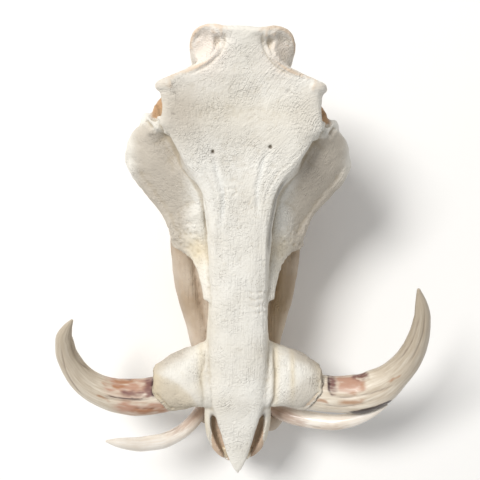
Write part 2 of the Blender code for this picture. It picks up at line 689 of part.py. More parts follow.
def grown_loft(stations, gap):
    """Loft stations with every side, and both ends, moved out by the gap."""
    rows = np.array(stations, float)
    rows[0, 0] -= gap
    rows[-1, 0] += gap
    rows[:, 1] += gap
    rows[:, 2] -= gap
    rows[:, 3:5] += gap
    return rows


def make_cheek_teeth(home, enamel, upper_sockets, lower_sockets):
    for name, stations, aside, sockets in (
        ("upper_molar", UPPER_MOLAR, UPPER_MOLAR_X, upper_sockets),
        ("upper_premolar", UPPER_PREMOLAR, UPPER_MOLAR_X, upper_sockets),
        ("lower_molar", LOWER_MOLAR, LOWER_MOLAR_X, lower_sockets),
        ("lower_premolar", LOWER_PREMOLAR, LOWER_MOLAR_X, lower_sockets),
    ):
        for side, sign in SIDES.items():
            shape = {"steps": 5, "around": 10, "power": SOFT_BOX, "aside": sign * aside}
            tooth = loft(stations, **shape)
            socket = loft(grown_loft(stations, SOCKET_GAP), **shape)
            make_tooth(f"{name}_{side}", tooth, socket, home, enamel, sockets)


def make_incisors(home, enamel, upper_sockets, lower_sockets):
    kinds = [("upper_incisor", UPPER_INCISOR, upper_sockets)]
    kinds += [(f"lower_incisor_{k}", rows, lower_sockets) for k, rows in LOWER_INCISORS.items()]
    for name, stations, sockets in kinds:
        for side, sign in SIDES.items():
            flip = np.array([sign, 1.0, 1.0])
            shape = {"steps": 5, "around": 8}
            tooth = sweep(stations, **shape) * flip
            socket = sweep(stations, grow=SOCKET_GAP, **shape) * flip
            make_tooth(f"{name}_{side}", tooth, socket, home, enamel, sockets)


def main():
    clear_scene()
    skull = make_collection("warthog skull")
    cutters = make_collection("cutters")
    upper_sockets = bpy.data.collections.new("upper sockets")
    lower_sockets = bpy.data.collections.new("lower sockets")
    cutters.children.link(upper_sockets)
    cutters.children.link(lower_sockets)
    bone = make_material("bone", (0.80, 0.76, 0.68), 0.6)
    ivory = make_material("tusk ivory", (0.70, 0.60, 0.50), 0.4)
    enamel = make_material("tooth enamel", (0.72, 0.64, 0.50), 0.35)
    make_tusks(skull, ivory, upper_sockets, lower_sockets)
    make_cheek_teeth(skull, enamel, upper_sockets, lower_sockets)
    make_incisors(skull, enamel, upper_sockets, lower_sockets)
    make_cranium(skull, cutters, bone, upper_sockets)
    make_lower_jaw(skull, cutters, bone, lower_sockets)


main()
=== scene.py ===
# %% [markdown]
# # A warthog skull on its own lower jaw
#
# The real thing is a sun-bleached skull: one fused cranium, a lower jaw, four tusks and the teeth. We load
# its plain CAD model as a frame, keep its box, and build every piece again, finer, in the same place.

# %% Load the frame
import math

import bpy
import numpy as np
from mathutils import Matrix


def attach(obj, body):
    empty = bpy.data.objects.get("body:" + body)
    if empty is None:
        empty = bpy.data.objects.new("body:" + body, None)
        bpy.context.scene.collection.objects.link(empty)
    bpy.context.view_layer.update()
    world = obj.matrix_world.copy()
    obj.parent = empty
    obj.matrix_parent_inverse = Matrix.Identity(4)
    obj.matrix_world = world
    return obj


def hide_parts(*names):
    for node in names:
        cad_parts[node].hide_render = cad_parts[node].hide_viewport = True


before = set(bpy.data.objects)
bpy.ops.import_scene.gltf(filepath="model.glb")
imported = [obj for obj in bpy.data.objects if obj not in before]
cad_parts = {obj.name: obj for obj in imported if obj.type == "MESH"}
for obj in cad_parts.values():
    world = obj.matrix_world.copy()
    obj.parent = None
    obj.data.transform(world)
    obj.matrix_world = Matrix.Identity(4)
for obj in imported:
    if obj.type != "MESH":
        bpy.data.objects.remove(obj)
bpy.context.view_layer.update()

print("CAD nodes:", len(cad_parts))

# %% [markdown]
# ## Units
#
# A skull is easier to draw when 1 is about a millimetre, so it is 350 units long here, and one line gives a
# unit's size in metres. The rear of this skull grew crooked, its left cheek forward of the right one, so
# drawn points are also skewed on their way into the world.

# %% Drawn units and metres
SKULL_LENGTH = 0.3585
UNIT = SKULL_LENGTH / 350
MIDDLE = np.array([1.1, -19.14, 0])  # drawn units, where the real 0, 0 lies
SKEW, FULLY_SKEWED_Y = 0.032, 60


def skew(points):
    """SKEW times x, from nothing at y 0 to all of it from y 60 on."""
    return SKEW * np.clip(points[..., 1] / FULLY_SKEWED_Y, 0, 1) * points[..., 0]


def placed(points):
    """Drawn units to metres: y less the skew, then the middle of the whole goes to 0, 0."""
    points = np.array(points, float)
    points[..., 1] -= skew(points)
    return (points - MIDDLE) * UNIT


def drawn(points):
    """Metres back to drawn units, with the skew taken out again."""
    points = np.array(points, float) / UNIT + MIDDLE
    points[..., 1] += skew(points)
    return points


def in_plan(points):
    """Metres to drawn x and y as the camera sees them, with the skew left in."""
    return (points / UNIT + MIDDLE)[:, :2]


print("one drawn unit is", round(UNIT * 1000, 4), "mm")

# %% [markdown]
# ## Bones as rings along a path
#
# A bone is a rounded box whose size changes along its length. It could be sculpted, but a table of stations
# is easier to correct: each row says where a cross-section is and how wide and high. A smooth curve through
# the rows carries a superellipse, an ellipse that can be squared up. That gives a grid of points, so far
# along and so far around, worked out as whole arrays.

# %% Curves and sections
ROUND, SOFT_BOX, BOX = 2, 2.7, 3.6
ALONG_Y, ALONG_Z = (0, 0, 1), (0, 1, 0)  # what keeps a section upright on a path that runs so
BACKWARD, SIDEWAYS = (0, 1, 0), (1, 0, 0)
COLUMNS = 6


def curve_through(stations, steps, by_first_column=False):
    """Each column is a cubic whose slope at a station is the harmonic mean of the slopes beside it, or level
    where those differ in sign, so it never overshoots. Last columns that are left out are 0."""
    rows = np.array(stations, float)
    rows = np.pad(rows, ((0, 0), (0, COLUMNS - rows.shape[1])))
    gaps = np.linalg.norm(np.diff(rows[:, :3], axis=0), axis=1)
    places = rows[:, 0] if by_first_column else np.concatenate([[0], np.cumsum(gaps)])
    step = np.diff(places)[:, None]
    slope = np.diff(rows, axis=0) / step
    before, after = slope[:-1], slope[1:]
    same_way = before * after > 0
    mean = 2 * before * after / np.where(same_way, before + after, 1)
    tangent = np.vstack([slope[:1], np.where(same_way, mean, 0), slope[-1:]])
    at = np.linspace(places[0], places[-1], steps)
    i = np.clip(np.searchsorted(places, at, side="right") - 1, 0, len(places) - 2)
    width = step[i]
    t = (at - places[i])[:, None] / width
    return (
        (1 + 2 * t) * (1 - t) ** 2 * rows[i]
        + t * (1 - t) ** 2 * width * tangent[i]
        + t**2 * (3 - 2 * t) * rows[i + 1]
        + t**2 * (t - 1) * width * tangent[i + 1]
    )


def circle(around):
    """The cosine and the sine of even angles a."""
    angle = np.linspace(0, 2 * np.pi, around, endpoint=False)
    return np.cos(angle), np.sin(angle)


def oval(around, power):
    """Across is sign(cos a) times |cos a| to the power 2/p, and up is the same with sine."""
    return [np.sign(wave) * np.abs(wave) ** (2 / power) for wave in circle(around)]


def loft(stations, steps=90, around=64, power=BOX, aside=0):
    """Rings across Y from each station's bottom to its top, as wide as it says there, with a dish on top."""
    y, top, bottom, half_top, half_bottom, dish = curve_through(stations, steps, True).T[:, :, None]
    across, up = oval(around, power)
    half = half_bottom + (half_top - half_bottom) * (up + 1) / 2
    x = aside + half * across
    z = (top + bottom) / 2 + (top - bottom) / 2 * up - dish * (1 - across**2) * np.maximum(up, 0)
    return np.stack([x, np.broadcast_to(y, x.shape), z], axis=2)


def sweep(stations, steps=80, around=48, power=ROUND, keep=ALONG_Y, grow=0, facing=None):
    """Rings square to the line through the stations, or to the facing direction, turned by the roll."""
    rows = curve_through(stations, steps)
    line, half_side, half_up = rows[:, :3], rows[:, 3:4] + grow, rows[:, 4:5] + grow
    roll = np.radians(rows[:, 5:6])
    forward = np.gradient(line, axis=0) if facing is None else line * 0 + np.array(facing)
    forward /= np.linalg.norm(forward, axis=1, keepdims=True)
    side = np.cross(forward, np.array(keep))
    side /= np.linalg.norm(side, axis=1, keepdims=True)
    upward = np.cross(side, forward)
    across, up = oval(around, power)
    s, u = half_side * across, half_up * up
    s, u = s * np.cos(roll) - u * np.sin(roll), s * np.sin(roll) + u * np.cos(roll)
    return line[:, None] + s[:, :, None] * side[:, None] + u[:, :, None] * upward[:, None]


def domed(rings, share=0.45):
    """Smaller rings past each end: radius times cos a, and outwards by share times radius times sin a."""
    turned = np.radians(np.linspace(12, 86, 8))
    ends = []
    for last, inner in ((rings[-1], rings[-2]), (rings[0], rings[1])):
        centre = last.mean(axis=0)
        outward = centre - inner.mean(axis=0)
        outward = outward / max(np.linalg.norm(outward), 1e-9)
        reach = share * np.linalg.norm(last - centre, axis=1).min()
        ends.append([centre + (last - centre) * np.cos(a) + outward * reach * np.sin(a) for a in turned])
    return np.concatenate([ends[1][::-1], rings, ends[0]])


def ball(*centre_and_radii, steps=30, around=40):
    """An ellipsoid's rings, from just above its lowest point to just below its highest."""
    rise = np.linspace(np.pi - 0.04, 0.04, steps)[:, None]
    cosine, sine = circle(around)
    sphere = np.stack([np.sin(rise) * cosine, np.sin(rise) * sine, np.cos(rise) + 0 * sine], axis=2)
    return np.array(centre_and_radii[:3]) + sphere * centre_and_radii[3:]


def mirrored(shapes):
    """Each shape with its twin, x turned to -x."""
    return [rings * np.array([side, 1, 1]) for rings in shapes for side in (1, -1)]


print("a section of 8 points:", np.round(oval(8, BOX)[0], 2))

# %% [markdown]
# ## From rings to a mesh
#
# Neighbouring rings are joined by four-sided faces, and each end ring gets one face. A face shows its
# outside when its corners run anticlockwise, so rings that run the other way are turned over first.

# %% Shells
def outward(rings):
    """Turns rings over whose summed area vector times path step, a volume, is negative."""
    area = np.cross(rings, np.roll(rings, -1, axis=1)).sum(axis=1) / 2
    step = np.gradient(rings.mean(axis=1), axis=0)
    return rings if (area * step).sum() > 0 else rings[:, ::-1]


def shell_faces(count, around, start):
    """Corner numbers: r * around + a, its neighbour round the ring, and the same two on the next ring."""
    r = np.arange(count - 1)[:, None] * around
    a = np.arange(around)[None, :]
    b = (a + 1) % around
    quads = np.stack([r + a, r + b, r + around + b, r + around + a], axis=2).reshape(-1, 4) + start
    ring = np.arange(around) + start
    return quads.tolist() + [ring[::-1].tolist(), (ring + (count - 1) * around).tolist()]


def make_mesh(name, shapes):
    """One mesh that holds each set of rings as a closed shell, in metres."""
    points, faces, start = [], [], 0
    for rings in map(outward, shapes):
        count, around = rings.shape[:2]
        points.append(placed(rings).reshape(-1, 3))
        faces += shell_faces(count, around, start)
        start += count * around
    mesh = bpy.data.meshes.new(name)
    mesh.from_pydata(np.concatenate(points), [], faces)
    mesh.update()
    mesh.shade_smooth()
    return mesh


def make_object(name, data):
    """An object at the origin, linked to the scene."""
    made = bpy.data.objects.new(name, data)
    bpy.context.scene.collection.objects.link(made)
    return made


print("a shell of 3 rings of 4 has", len(shell_faces(3, 4, 0)), "faces")

# %% [markdown]
# ## Melting, carving and softening
#
# Real bone has no seams between brow, cheek and snout. A voxel remesh fills the overlapping shells with
# small cubes and wraps one skin round them, a Boolean carves the eye sockets and other hollows, and a few
# rounds of smoothing take the cube steps away. The result is read as a plain mesh, for numpy to work on.

# %% Melt and carve
def modify(thing, kind, **settings):
    """Adds a modifier with its settings."""
    modifier = thing.modifiers.new(kind.lower(), kind)
    for key, value in settings.items():
        setattr(modifier, key, value)


def applied(name, thing, *others):
    """The mesh that the thing's modifiers make. The thing and the others are deleted with their meshes."""
    evaluated = thing.evaluated_get(bpy.context.evaluated_depsgraph_get())
    made = bpy.data.meshes.new_from_object(evaluated)
    for old in (thing, *others):
        mesh = old.data
        bpy.data.objects.remove(old)
        bpy.data.meshes.remove(mesh)
    made.name = name
    return made


def melted(name, shapes, hollows, grain, rounds):
    """The shapes melted together at that voxel size in metres, less the melted hollows, then smoothed."""
    bone = make_object(name, make_mesh(name, shapes))
    carver = make_object(name + "_carver", make_mesh(name + "_carver", hollows))
    for thing in (bone, carver):
        modify(thing, "REMESH", mode="VOXEL", voxel_size=grain)
    modify(bone, "BOOLEAN", operation="DIFFERENCE", object=carver, solver="MANIFOLD")
    modify(bone, "REMESH", mode="VOXEL", voxel_size=grain)
    modify(bone, "SMOOTH", factor=0.5, iterations=rounds)
    return applied(name, bone, carver)


# %% [markdown]
# ## Tusks as sweeps
#
# A tusk is bare dentine grown in a curve, so it is one sweep from its hidden root to its tip. Each side has
# its own stations: x, y, z, half width and half height. They come before the bones, because a slightly
# larger copy of every tooth carves its socket.

# %% Stations of the tusks
TUSKS = {
    "upper_left": [
        (34, -116, 86, 12.5, 11.5), (48, -120.5, 86.5, 14, 13), (62, -124, 87.5, 14.8, 13.6),
        (80, -125.6, 90, 14.8, 13.4), (97.5, -124.8, 94, 15.8, 12.8), (112.5, -118.2, 100, 15.2, 12),
        (123.6, -107.6, 107.5, 12, 11), (131.5, -95, 118, 10.4, 9.8), (135.6, -81.5, 129, 9, 8.6),
        (136.8, -69.5, 138, 7.6, 7.2), (136.5, -59, 145.5, 6.3, 5.8), (134.2, -48, 152, 4.6, 4.2),
        (130.5, -36.5, 158, 1.2, 1.2),
    ],
    "upper_right": [
        (-34, -116, 86, 12.5, 11.5), (-48, -120.5, 86.5, 14.2, 13), (-62, -125, 87, 15, 13.6),
        (-80, -127, 88.5, 15, 13.4), (-95, -125.4, 91, 13.8, 12.4), (-107.5, -121.4, 94, 12.4, 11.4),
        (-121, -112.4, 99, 10.8, 10.2), (-130, -99.5, 105, 9.2, 9), (-134.6, -86, 111.5, 7.9, 7.8),
        (-134.9, -76.5, 117, 6.6, 6.4), (-131.8, -68, 122.5, 4, 4), (-127.2, -61, 128, 1, 1),
    ],
    "lower_left": [
        (23, -138, 45, 5.2, 6), (31, -143, 53, 5.8, 6.4), (40, -147, 60, 6.6, 7), (58, -150.2, 68, 7, 7.4),
        (77, -151.4, 76, 6.6, 6.8), (93, -148.4, 83, 5.6, 5.6), (104, -143.8, 88.5, 4.4, 4.4),
        (112.5, -138.8, 93.5, 2.9, 2.9), (120.4, -133, 98.5, 0.8, 0.8),
    ],
    "lower_right": [
        (-22, -137, 44, 5, 5.8), (-28.5, -144, 52, 5.4, 6.2), (-36, -152.5, 60, 5.8, 6.6),
        (-48, -161.5, 67, 6, 7), (-64.8, -166.6, 75, 6.2, 7), (-77.3, -166.8, 81, 5.9, 6.4),
        (-88, -165, 87, 4.9, 5.2), (-96.6, -162.8, 92, 3.5, 3.6), (-105.2, -160.3, 97, 0.8, 0.8),
    ],
}
print("left upper tusk ends at", TUSKS["upper_left"][-1][:3])

# %% [markdown]
# ## Teeth
#
# A warthog keeps one long last molar in each half jaw, a smaller tooth in front of it, and a few peg-like
# front teeth. They hardly show from above, but a socket without its tooth would.

# %% Stations of the teeth, and their sockets
TOOTH_ROW_X = {"upper": 20.5, "lower": 21.5}
CHEEK_TEETH = {
    ("upper", "molar"): [
        (-7, 74, 59, 5, 5.5), (-2, 75, 58.6, 6.6, 7.2), (16, 75, 58.6, 6.4, 7), (34, 75, 58.8, 5.2, 5.8),
        (41, 74, 59.4, 3.4, 3.8),
    ],
    ("upper", "premolar"): [
        (-29, 73, 60, 3.4, 3.6), (-24, 74, 59, 5.4, 5.8), (-14, 74, 59, 5.4, 5.8), (-9.4, 73, 60, 3.6, 3.8),
    ],
    ("lower", "molar"): [
        (-4, 57.4, 44, 4.4, 4), (1, 58, 43, 5.8, 5.4), (20, 58, 43, 5.8, 5.4), (40, 57.8, 43, 4.8, 4.4),
        (48, 57, 44, 3, 2.8),
    ],
    ("lower", "premolar"): [
        (-24, 57, 44, 3, 3), (-19, 58, 43, 4.8, 4.6), (-11, 58, 43, 4.8, 4.6), (-6.2, 57, 44, 3.2, 3.2),
    ],
}
FRONT_TEETH = {
    "upper_incisor": [
        (9.5, -171, 76, 3.4, 3.4), (8.6, -177, 72, 3.6, 3.4), (7, -181.5, 66, 3.4, 3),
        (5, -184, 60, 2.8, 2.2),
    ],
    "lower_incisor_inner": [
        (3.8, -158, 42, 2.6, 2.8), (3.9, -172, 44, 2.9, 2.9), (3.9, -181, 46.5, 3.2, 2.4),
        (3.6, -188, 49.5, 2.8, 1.2),
    ],
    "lower_incisor_outer": [
        (9.6, -156, 42, 2.6, 2.8), (10.6, -170, 44, 2.9, 2.9), (11, -178.5, 46.5, 3.2, 2.4),
        (10.6, -185, 49.5, 2.8, 1.2),
    ],
}
SIDES = {"left": 1, "right": -1}
SOCKET_GAP = 0.7  # units of free space round a tooth


def sockets(jaw):
    """Every tooth of the jaw as a loft or a sweep that is grown by the gap."""
    found = [sweep(TUSKS[f"{jaw}_{side}"], grow=SOCKET_GAP) for side in SIDES]
    for kind in ("molar", "premolar"):
        rows = np.array(CHEEK_TEETH[jaw, kind], float)
        rows[[0, -1], 0] += (-SOCKET_GAP, SOCKET_GAP)
        rows[:, 1:5] += np.array([1, -1, 1, 1]) * SOCKET_GAP
        found += [loft(rows, power=SOFT_BOX, aside=sign * TOOTH_ROW_X[jaw]) for sign in SIDES.values()]
    pegs = [sweep(rows, grow=SOCKET_GAP) for name, rows in FRONT_TEETH.items() if name.startswith(jaw)]
    return found + mirrored(pegs)


SOCKETS = {jaw: sockets(jaw) for jaw in TOOTH_ROW_X}
print("sockets:", {jaw: len(found) for jaw, found in SOCKETS.items()})

# %% [markdown]
# ## Tools for relief
#
# Grooves, ridges and pits are a millimetre or two deep, so they are moves of the skin along its own normal.
# Each point needs its distance to a drawn line, a smooth random number for its place, and how hollow the
# skin is there. Sculpt brushes or a Displace modifier could do this, but a drawn line can be set against
# the real skull.

# %% Read and move a skin
def read_array(data, word, columns=3, kind=np.float32):
    """One row for each element of a mesh list."""
    values = np.empty(len(data) * columns, kind)
    data.foreach_get(word, values)
    return values.reshape(-1, columns)


def read_skin(mesh):
    """Every point's place and normal, and the two ends of every edge."""
    points = read_array(mesh.vertices, "co").astype(float)
    normals = read_array(mesh.vertex_normals, "vector").astype(float)
    return points, normals, read_array(mesh.edges, "vertices", 2, np.int32)


def write_points(mesh, points):
    """Puts every point in its new place."""
    mesh.vertices.foreach_set("co", points.astype(np.float32).ravel())
    mesh.update()


def softened(values, edges, rounds):
    """Half the value and half the mean of its neighbours, which bincount adds up, again and again."""
    ends, others = np.concatenate([edges, edges[:, ::-1]]).T
    number = np.maximum(np.bincount(ends, minlength=len(values)), 1)
    for _ in range(rounds):
        columns = np.atleast_2d(values.T)
        mean = np.stack([np.bincount(ends, row[others], len(values)) / number for row in columns]).T
        values = (values + mean.reshape(values.shape)) / 2
    return values


def hollowness(points, normals, edges, rounds):
    """How many units the smoothed skin lies outside the real one: over 0 in hollows, under 0 on ridges."""
    return ((softened(points, edges, rounds) - points) * normals).sum(axis=1) / UNIT


# %% Smooth random numbers
def noise(points, cell, seed):
    """From -1 to 1: seeded numbers on a lattice of that cell, in units, mixed by 3t^2 - 2t^3 on each axis."""
    table = np.random.default_rng(seed).uniform(-1, 1, (32, 32, 32))
    place = np.asarray(points, float) / np.asarray(cell, float) + 7.3
    corner = np.floor(place).astype(int)
    t = place - corner
    t = t * t * (3 - 2 * t)
    total = np.zeros(len(place))
    for number in range(8):
        bit = np.array([number >> 2 & 1, number >> 1 & 1, number & 1])
        share = np.where(bit, t, 1 - t).prod(axis=1)
        i, j, k = ((corner + bit) % 32).T
        total += share * table[i, j, k]
    return total


# %% Distance to a drawn line
def beside(plan, path):
    """The distance in plan to a broken line, the side, 1 on its left, and how far along it is, 0 to 1."""
    nearest = np.full(len(plan), 1e9)
    side, along = np.zeros(len(plan)), np.zeros(len(plan))
    lengths = np.linalg.norm(np.diff(path, axis=0), axis=1)
    before = np.concatenate([[0], np.cumsum(lengths)])
    for start, end, length, so_far in zip(path[:-1], path[1:], lengths, before):
        step = end - start
        offset = plan - start
        t = np.clip(offset @ step / length**2, 0, 1)
        gap = np.linalg.norm(offset - t[:, None] * step, axis=1)
        closer = gap < nearest
        nearest = np.where(closer, gap, nearest)
        side = np.where(closer, np.sign(step[0] * offset[:, 1] - step[1] * offset[:, 0]), side)
        along = np.where(closer, (so_far + t * length) / before[-1], along)
    return nearest, side, along


def bell(distance, width):
    """A Gaussian: 1 at the middle, 0.37 at the width."""
    return np.exp(-((distance / width) ** 2))


def blob(points, centre, radii):
    """A bell of the distance from the centre, each axis measured by its own radius."""
    return bell(np.linalg.norm((points - np.array(centre)) / np.array(radii), axis=1), 1)


def blobs(points, rows):
    """The sum of each row's strength times its blob."""
    return sum(strength * blob(points, centre, radii) for strength, centre, radii in rows)


def smooth_path(path):
    """The same harmonic cubic through the path's points, so that a drawn line has no corners."""
    return curve_through(path, 24)[:, :2]


def along_line(plan, path, width, offset=0, fade=0.12):
    """A bell across a line, moved left by the offset, that fades in and out over that share of its length."""
    path = smooth_path(path)
    reach = 3 * width + abs(offset)
    near = ((plan > path.min(axis=0) - reach) & (plan < path.max(axis=0) + reach)).all(axis=1)
    gap, side, along = beside(plan[near], path)
    strength = np.zeros(len(plan))
    strength[near] = bell(gap * side - offset, width) * np.clip(np.minimum(along, 1 - along) / fade, 0, 1)
    return strength


def ramp(values, low, high):
    """0 below low, 1 above high, and 3t^2 - 2t^3 between them."""
    t = np.clip((values - low) / (high - low), 0, 1)
    return t * t * (3 - 2 * t)


# %% [markdown]
# ## The cranium's shapes
#
# The cranium is one fused bone: a dished forehead, a long snout, wide cheek plates, flanges that hold the
# upper tusks, and a crest behind. Columns of a loft are y, top, bottom, half width at the top and at the
# bottom, and the dish. Columns of a sweep are x, y, z, two half widths and a roll in degrees. A ball has a
# centre and three radii.

# %% Stations of the snout and the forehead
ROOF = [
    (-188.5, 92.5, 88.5, 1.6, 1.2, 0), (-184, 94, 87.5, 4.4, 3, 0), (-177, 95.5, 86, 8.2, 6, 0),
    (-168, 98, 86, 11.4, 8.6, 0), (-155, 101, 88, 15, 12, 0), (-143, 104.5, 90, 18, 15, 0),
    (-128, 110, 92, 20.6, 22, 0), (-105, 115.5, 95, 20.6, 25, 0), (-80, 122, 98, 19.8, 25.4, 0.2),
    (-50, 131, 105, 19.4, 25.6, 0.6), (-20, 141, 114, 19.6, 26, 1), (5, 150, 124, 21.2, 27.5, 1.6),
    (29, 160.5, 136, 25, 33, 3.2), (44, 167.5, 145, 30.4, 40, 4.8), (57, 174.5, 152, 42, 51, 6.6),
    (70, 182, 160, 51.6, 59, 8), (80, 187, 167, 55.8, 60, 8.4), (88, 190, 174, 55.8, 56, 8.4),
    (97, 193.5, 180, 55.6, 52, 7.6), (104, 195.5, 184, 56.5, 52, 6.4), (109, 197, 186, 56.6, 50, 5.2),
    (112, 197.5, 186, 50.5, 46, 4), (115, 198, 184, 43.5, 39, 2.6), (119, 199, 180, 36, 33, 1.8),
    (123.5, 201, 177, 28.6, 27, 1), (128, 203.5, 173, 21.6, 22, 0.5), (133, 206.5, 172, 15.6, 20, 0.2),
    (138, 209, 173, 14.6, 22, 0), (141.5, 210, 176, 15.5, 24, 0),
]
MUZZLE = [
    (-140, 99, 69, 21.5, 22.5), (-128, 104, 68.5, 25.5, 24), (-105, 108.5, 67.5, 26.6, 25),
    (-80, 114, 67, 25, 25.5), (-50, 124, 66.5, 21, 25.6), (-32, 130, 66.5, 21, 27),
    (-18, 134.5, 66.5, 21, 31), (5, 143, 66.5, 21, 36), (28, 152, 68, 23, 34), (44, 154, 74, 24, 28),
    (56, 158, 92, 24, 22),
]
PREMAXILLA = [
    (-181.5, 77.5, 71, 10, 9), (-177, 82, 69.5, 16.8, 14), (-169, 87, 69, 23.2, 19.5),
    (-158, 92, 69, 27.2, 23), (-145, 98.5, 69, 28.8, 24.5), (-130, 104, 69, 28.2, 24),
    (-118, 107, 69, 25, 22),
]
BRAINCASE = [
    (40, 150, 104, 20, 15), (60, 160, 110, 22, 16), (80, 169, 116, 25, 18), (100, 178, 122, 27, 22),
    (115, 189, 126, 27, 26), (130, 202, 127, 23, 28), (139, 206, 127, 20, 26),
]
print("the roof has", len(ROOF), "stations")

# %% Stations of the cheeks, brows and flanges, for the left side
CHEEK_PLATE = [
    (23.5, -46, 116, 4, 4, -45), (24.5, -34, 115.5, 5.5, 4.5, -44), (26, -24, 114, 7, 4.8, -42),
    (29, -15, 111, 9, 5.2, -40), (33, -9.5, 108.5, 12.5, 5.4, -39), (37.5, -6, 106.5, 17.5, 5.6, -38),
    (38.8, 4, 110.2, 18.6, 6.6, -39), (41.2, 15, 114.6, 21.8, 7.2, -40), (46.1, 26, 120.6, 25.5, 8, -40),
    (52.5, 36, 126.3, 29.5, 8.5, -38), (56.6, 45, 132.8, 31, 9, -37), (62.4, 57, 139.9, 31.3, 9.5, -38),
    (64, 67, 147, 27, 9, -42), (64.5, 76, 153, 22.5, 8, -49), (63, 82, 157, 17, 6.5, -55),
]
CHEEK_ARCH = [
    (47, 2, 103, 4.5, 8), (57, 22, 105.5, 5.5, 11), (70, 39, 110.5, 7, 14), (80, 55, 116.5, 7, 17),
    (77.5, 67, 122, 6.5, 18.5), (72.5, 76, 128, 5.5, 18.5), (65.2, 84, 133.5, 4.6, 17),
    (59.2, 93, 140, 4, 14.5), (55.2, 101, 147, 4, 12.4), (50, 106.5, 152, 4.4, 12), (43, 109.5, 156, 5, 13),
    (33.5, 113, 158, 6, 16), (22, 121, 158, 8, 20),
]
BROW_RIM = [
    (53.5, 106.5, 188.5, 4, 4), (54, 101, 185.5, 3.4, 3.6), (53.2, 94, 183, 3.2, 3.4),
    (52.8, 86, 179.5, 3.4, 3.6), (53, 79, 174, 3.6, 4),
]
BROW_HOOK = [
    (49, 106, 191, 5, 4.2), (54, 105.6, 189.8, 4, 4), (57.2, 105, 185, 3.2, 3.8), (57.8, 104.2, 177, 2.6, 3),
]
TUSK_FLANGE = [
    (10, -108, 92, 27, 15), (24, -108, 92, 26.6, 15.6), (36, -110, 91.5, 24.4, 17.4),
    (46, -112.8, 90.5, 24, 17.8), (54, -115.2, 89.5, 22.4, 17.8), (60, -115.8, 89, 18.4, 17.4),
    (64, -115.4, 88.5, 15.2, 16.8), (67, -115, 88.5, 13, 16.2),
]

# %% Stations of the rear and the underside, and round parts, for the left side
CREST_WING = [
    (4, 139.8, 206, 3.2, 4.2), (13, 140.8, 206.4, 2.6, 3.8), (21, 142.6, 205.6, 2, 3.6),
    (28.2, 141.6, 202.8, 1.9, 3.6), (33, 138, 197.5, 1.9, 3.6), (34.8, 133, 188, 1.9, 4),
    (33.6, 128, 176, 2.6, 5), (31, 123, 163, 3.6, 6.5),
]
PTERYGOID_PLATE = [
    (10.5, 34, 88, 3.2, 14), (11.5, 46, 93, 3.2, 20), (13, 60, 98, 3, 21), (14.5, 72, 103, 3, 20),
    (15.5, 82, 112, 3, 14),
]
NAPE_SHIELD = [
    (0, 140, 207, 25, 3), (0, 139.5, 199, 30.5, 4), (0, 137.5, 187, 33.5, 5.5), (0, 134.5, 172, 34.5, 7.5),
    (0, 131.5, 156, 34, 10), (0, 130.5, 142, 31, 12), (0, 130, 128, 22, 12),
]
NECK_SPUR = [
    (29, 127.5, 142, 8, 7), (30, 126.5, 124, 6.2, 5.5), (30.5, 125, 106, 4.4, 4.2), (31, 124, 91, 2.8, 2.8),
]
NECK_KNUCKLE, EAR_BULB = (12.5, 141.5, 130, 8.5, 9, 12), (19, 110, 121, 7.5, 10, 9)
SOCKET_FLOOR, CUP_FLOOR = (46, 91, 152, 18.8, 17, 13), (24.8, 131, 180, 10, 11.5, 24)
HINGE_PAD = (43, 109, 148.5, 13, 9, 8.5)
BROW_KNOBS = [
    (57, 83.5, 170, 4.4, 4.4, 6), (61, 79, 163, 4.4, 5.2, 6.5), (65.5, 85.5, 157, 4, 6, 6),
    (69, 85, 149, 4.4, 6.5, 6.5),
]

# %% Stations of what is carved out
NASAL_PASSAGE = [
    (-205, 91, 78, 18, 13), (-180, 91.5, 77.5, 17, 13), (-168, 92.5, 77.5, 15.6, 13),
    (-155, 94.5, 77.5, 16.8, 14), (-143, 96.5, 77.5, 16.6, 14.5), (-128, 97.5, 79, 14.5, 13),
    (-108, 97, 82, 11, 10),
]
PALATE_VAULT = [
    (-158, 71, 60, 5, 7), (-120, 72.5, 60, 8, 11), (-60, 73.5, 60, 9, 12.5), (0, 75, 60, 10, 12.5),
    (40, 80, 60, 10, 12.5), (62, 98, 60, 9, 12),
]
NOSE_SLIT = [
    (19.6, -141, 98, 1.6, 8), (19.4, -146, 97, 2.8, 13), (18.2, -153, 96, 3.2, 15),
    (15.9, -161, 95, 3.1, 16), (13, -169, 93, 2.5, 16), (9.8, -177, 91, 2.2, 15), (8, -186, 90, 2.2, 15),
]
TEMPLE_CUP = [
    (25.6, 137, 214.5, 6.6, 7), (26.6, 131.5, 206.5, 7.4, 8.5), (30.2, 127, 200, 6, 6.5),
    (37, 122.5, 190, 5, 5.5), (38, 114, 177, 6, 6.5), (36, 101, 165, 8, 11),
]
EYE_SOCKET = (60, 101.5, 167, 25, 16.5, 17)
SPINE_HOLE = (0, 150, 139, 9.5, 22, 8.5)
CHEEK_HOLE = (33, -34, 103, 6.5, 13, 5)

# %% Melt the cranium
SKULL_GRAIN = 0.00105  # metres: a voxel that keeps a rim of two or three millimetres
SKULL_ROUNDS = 11

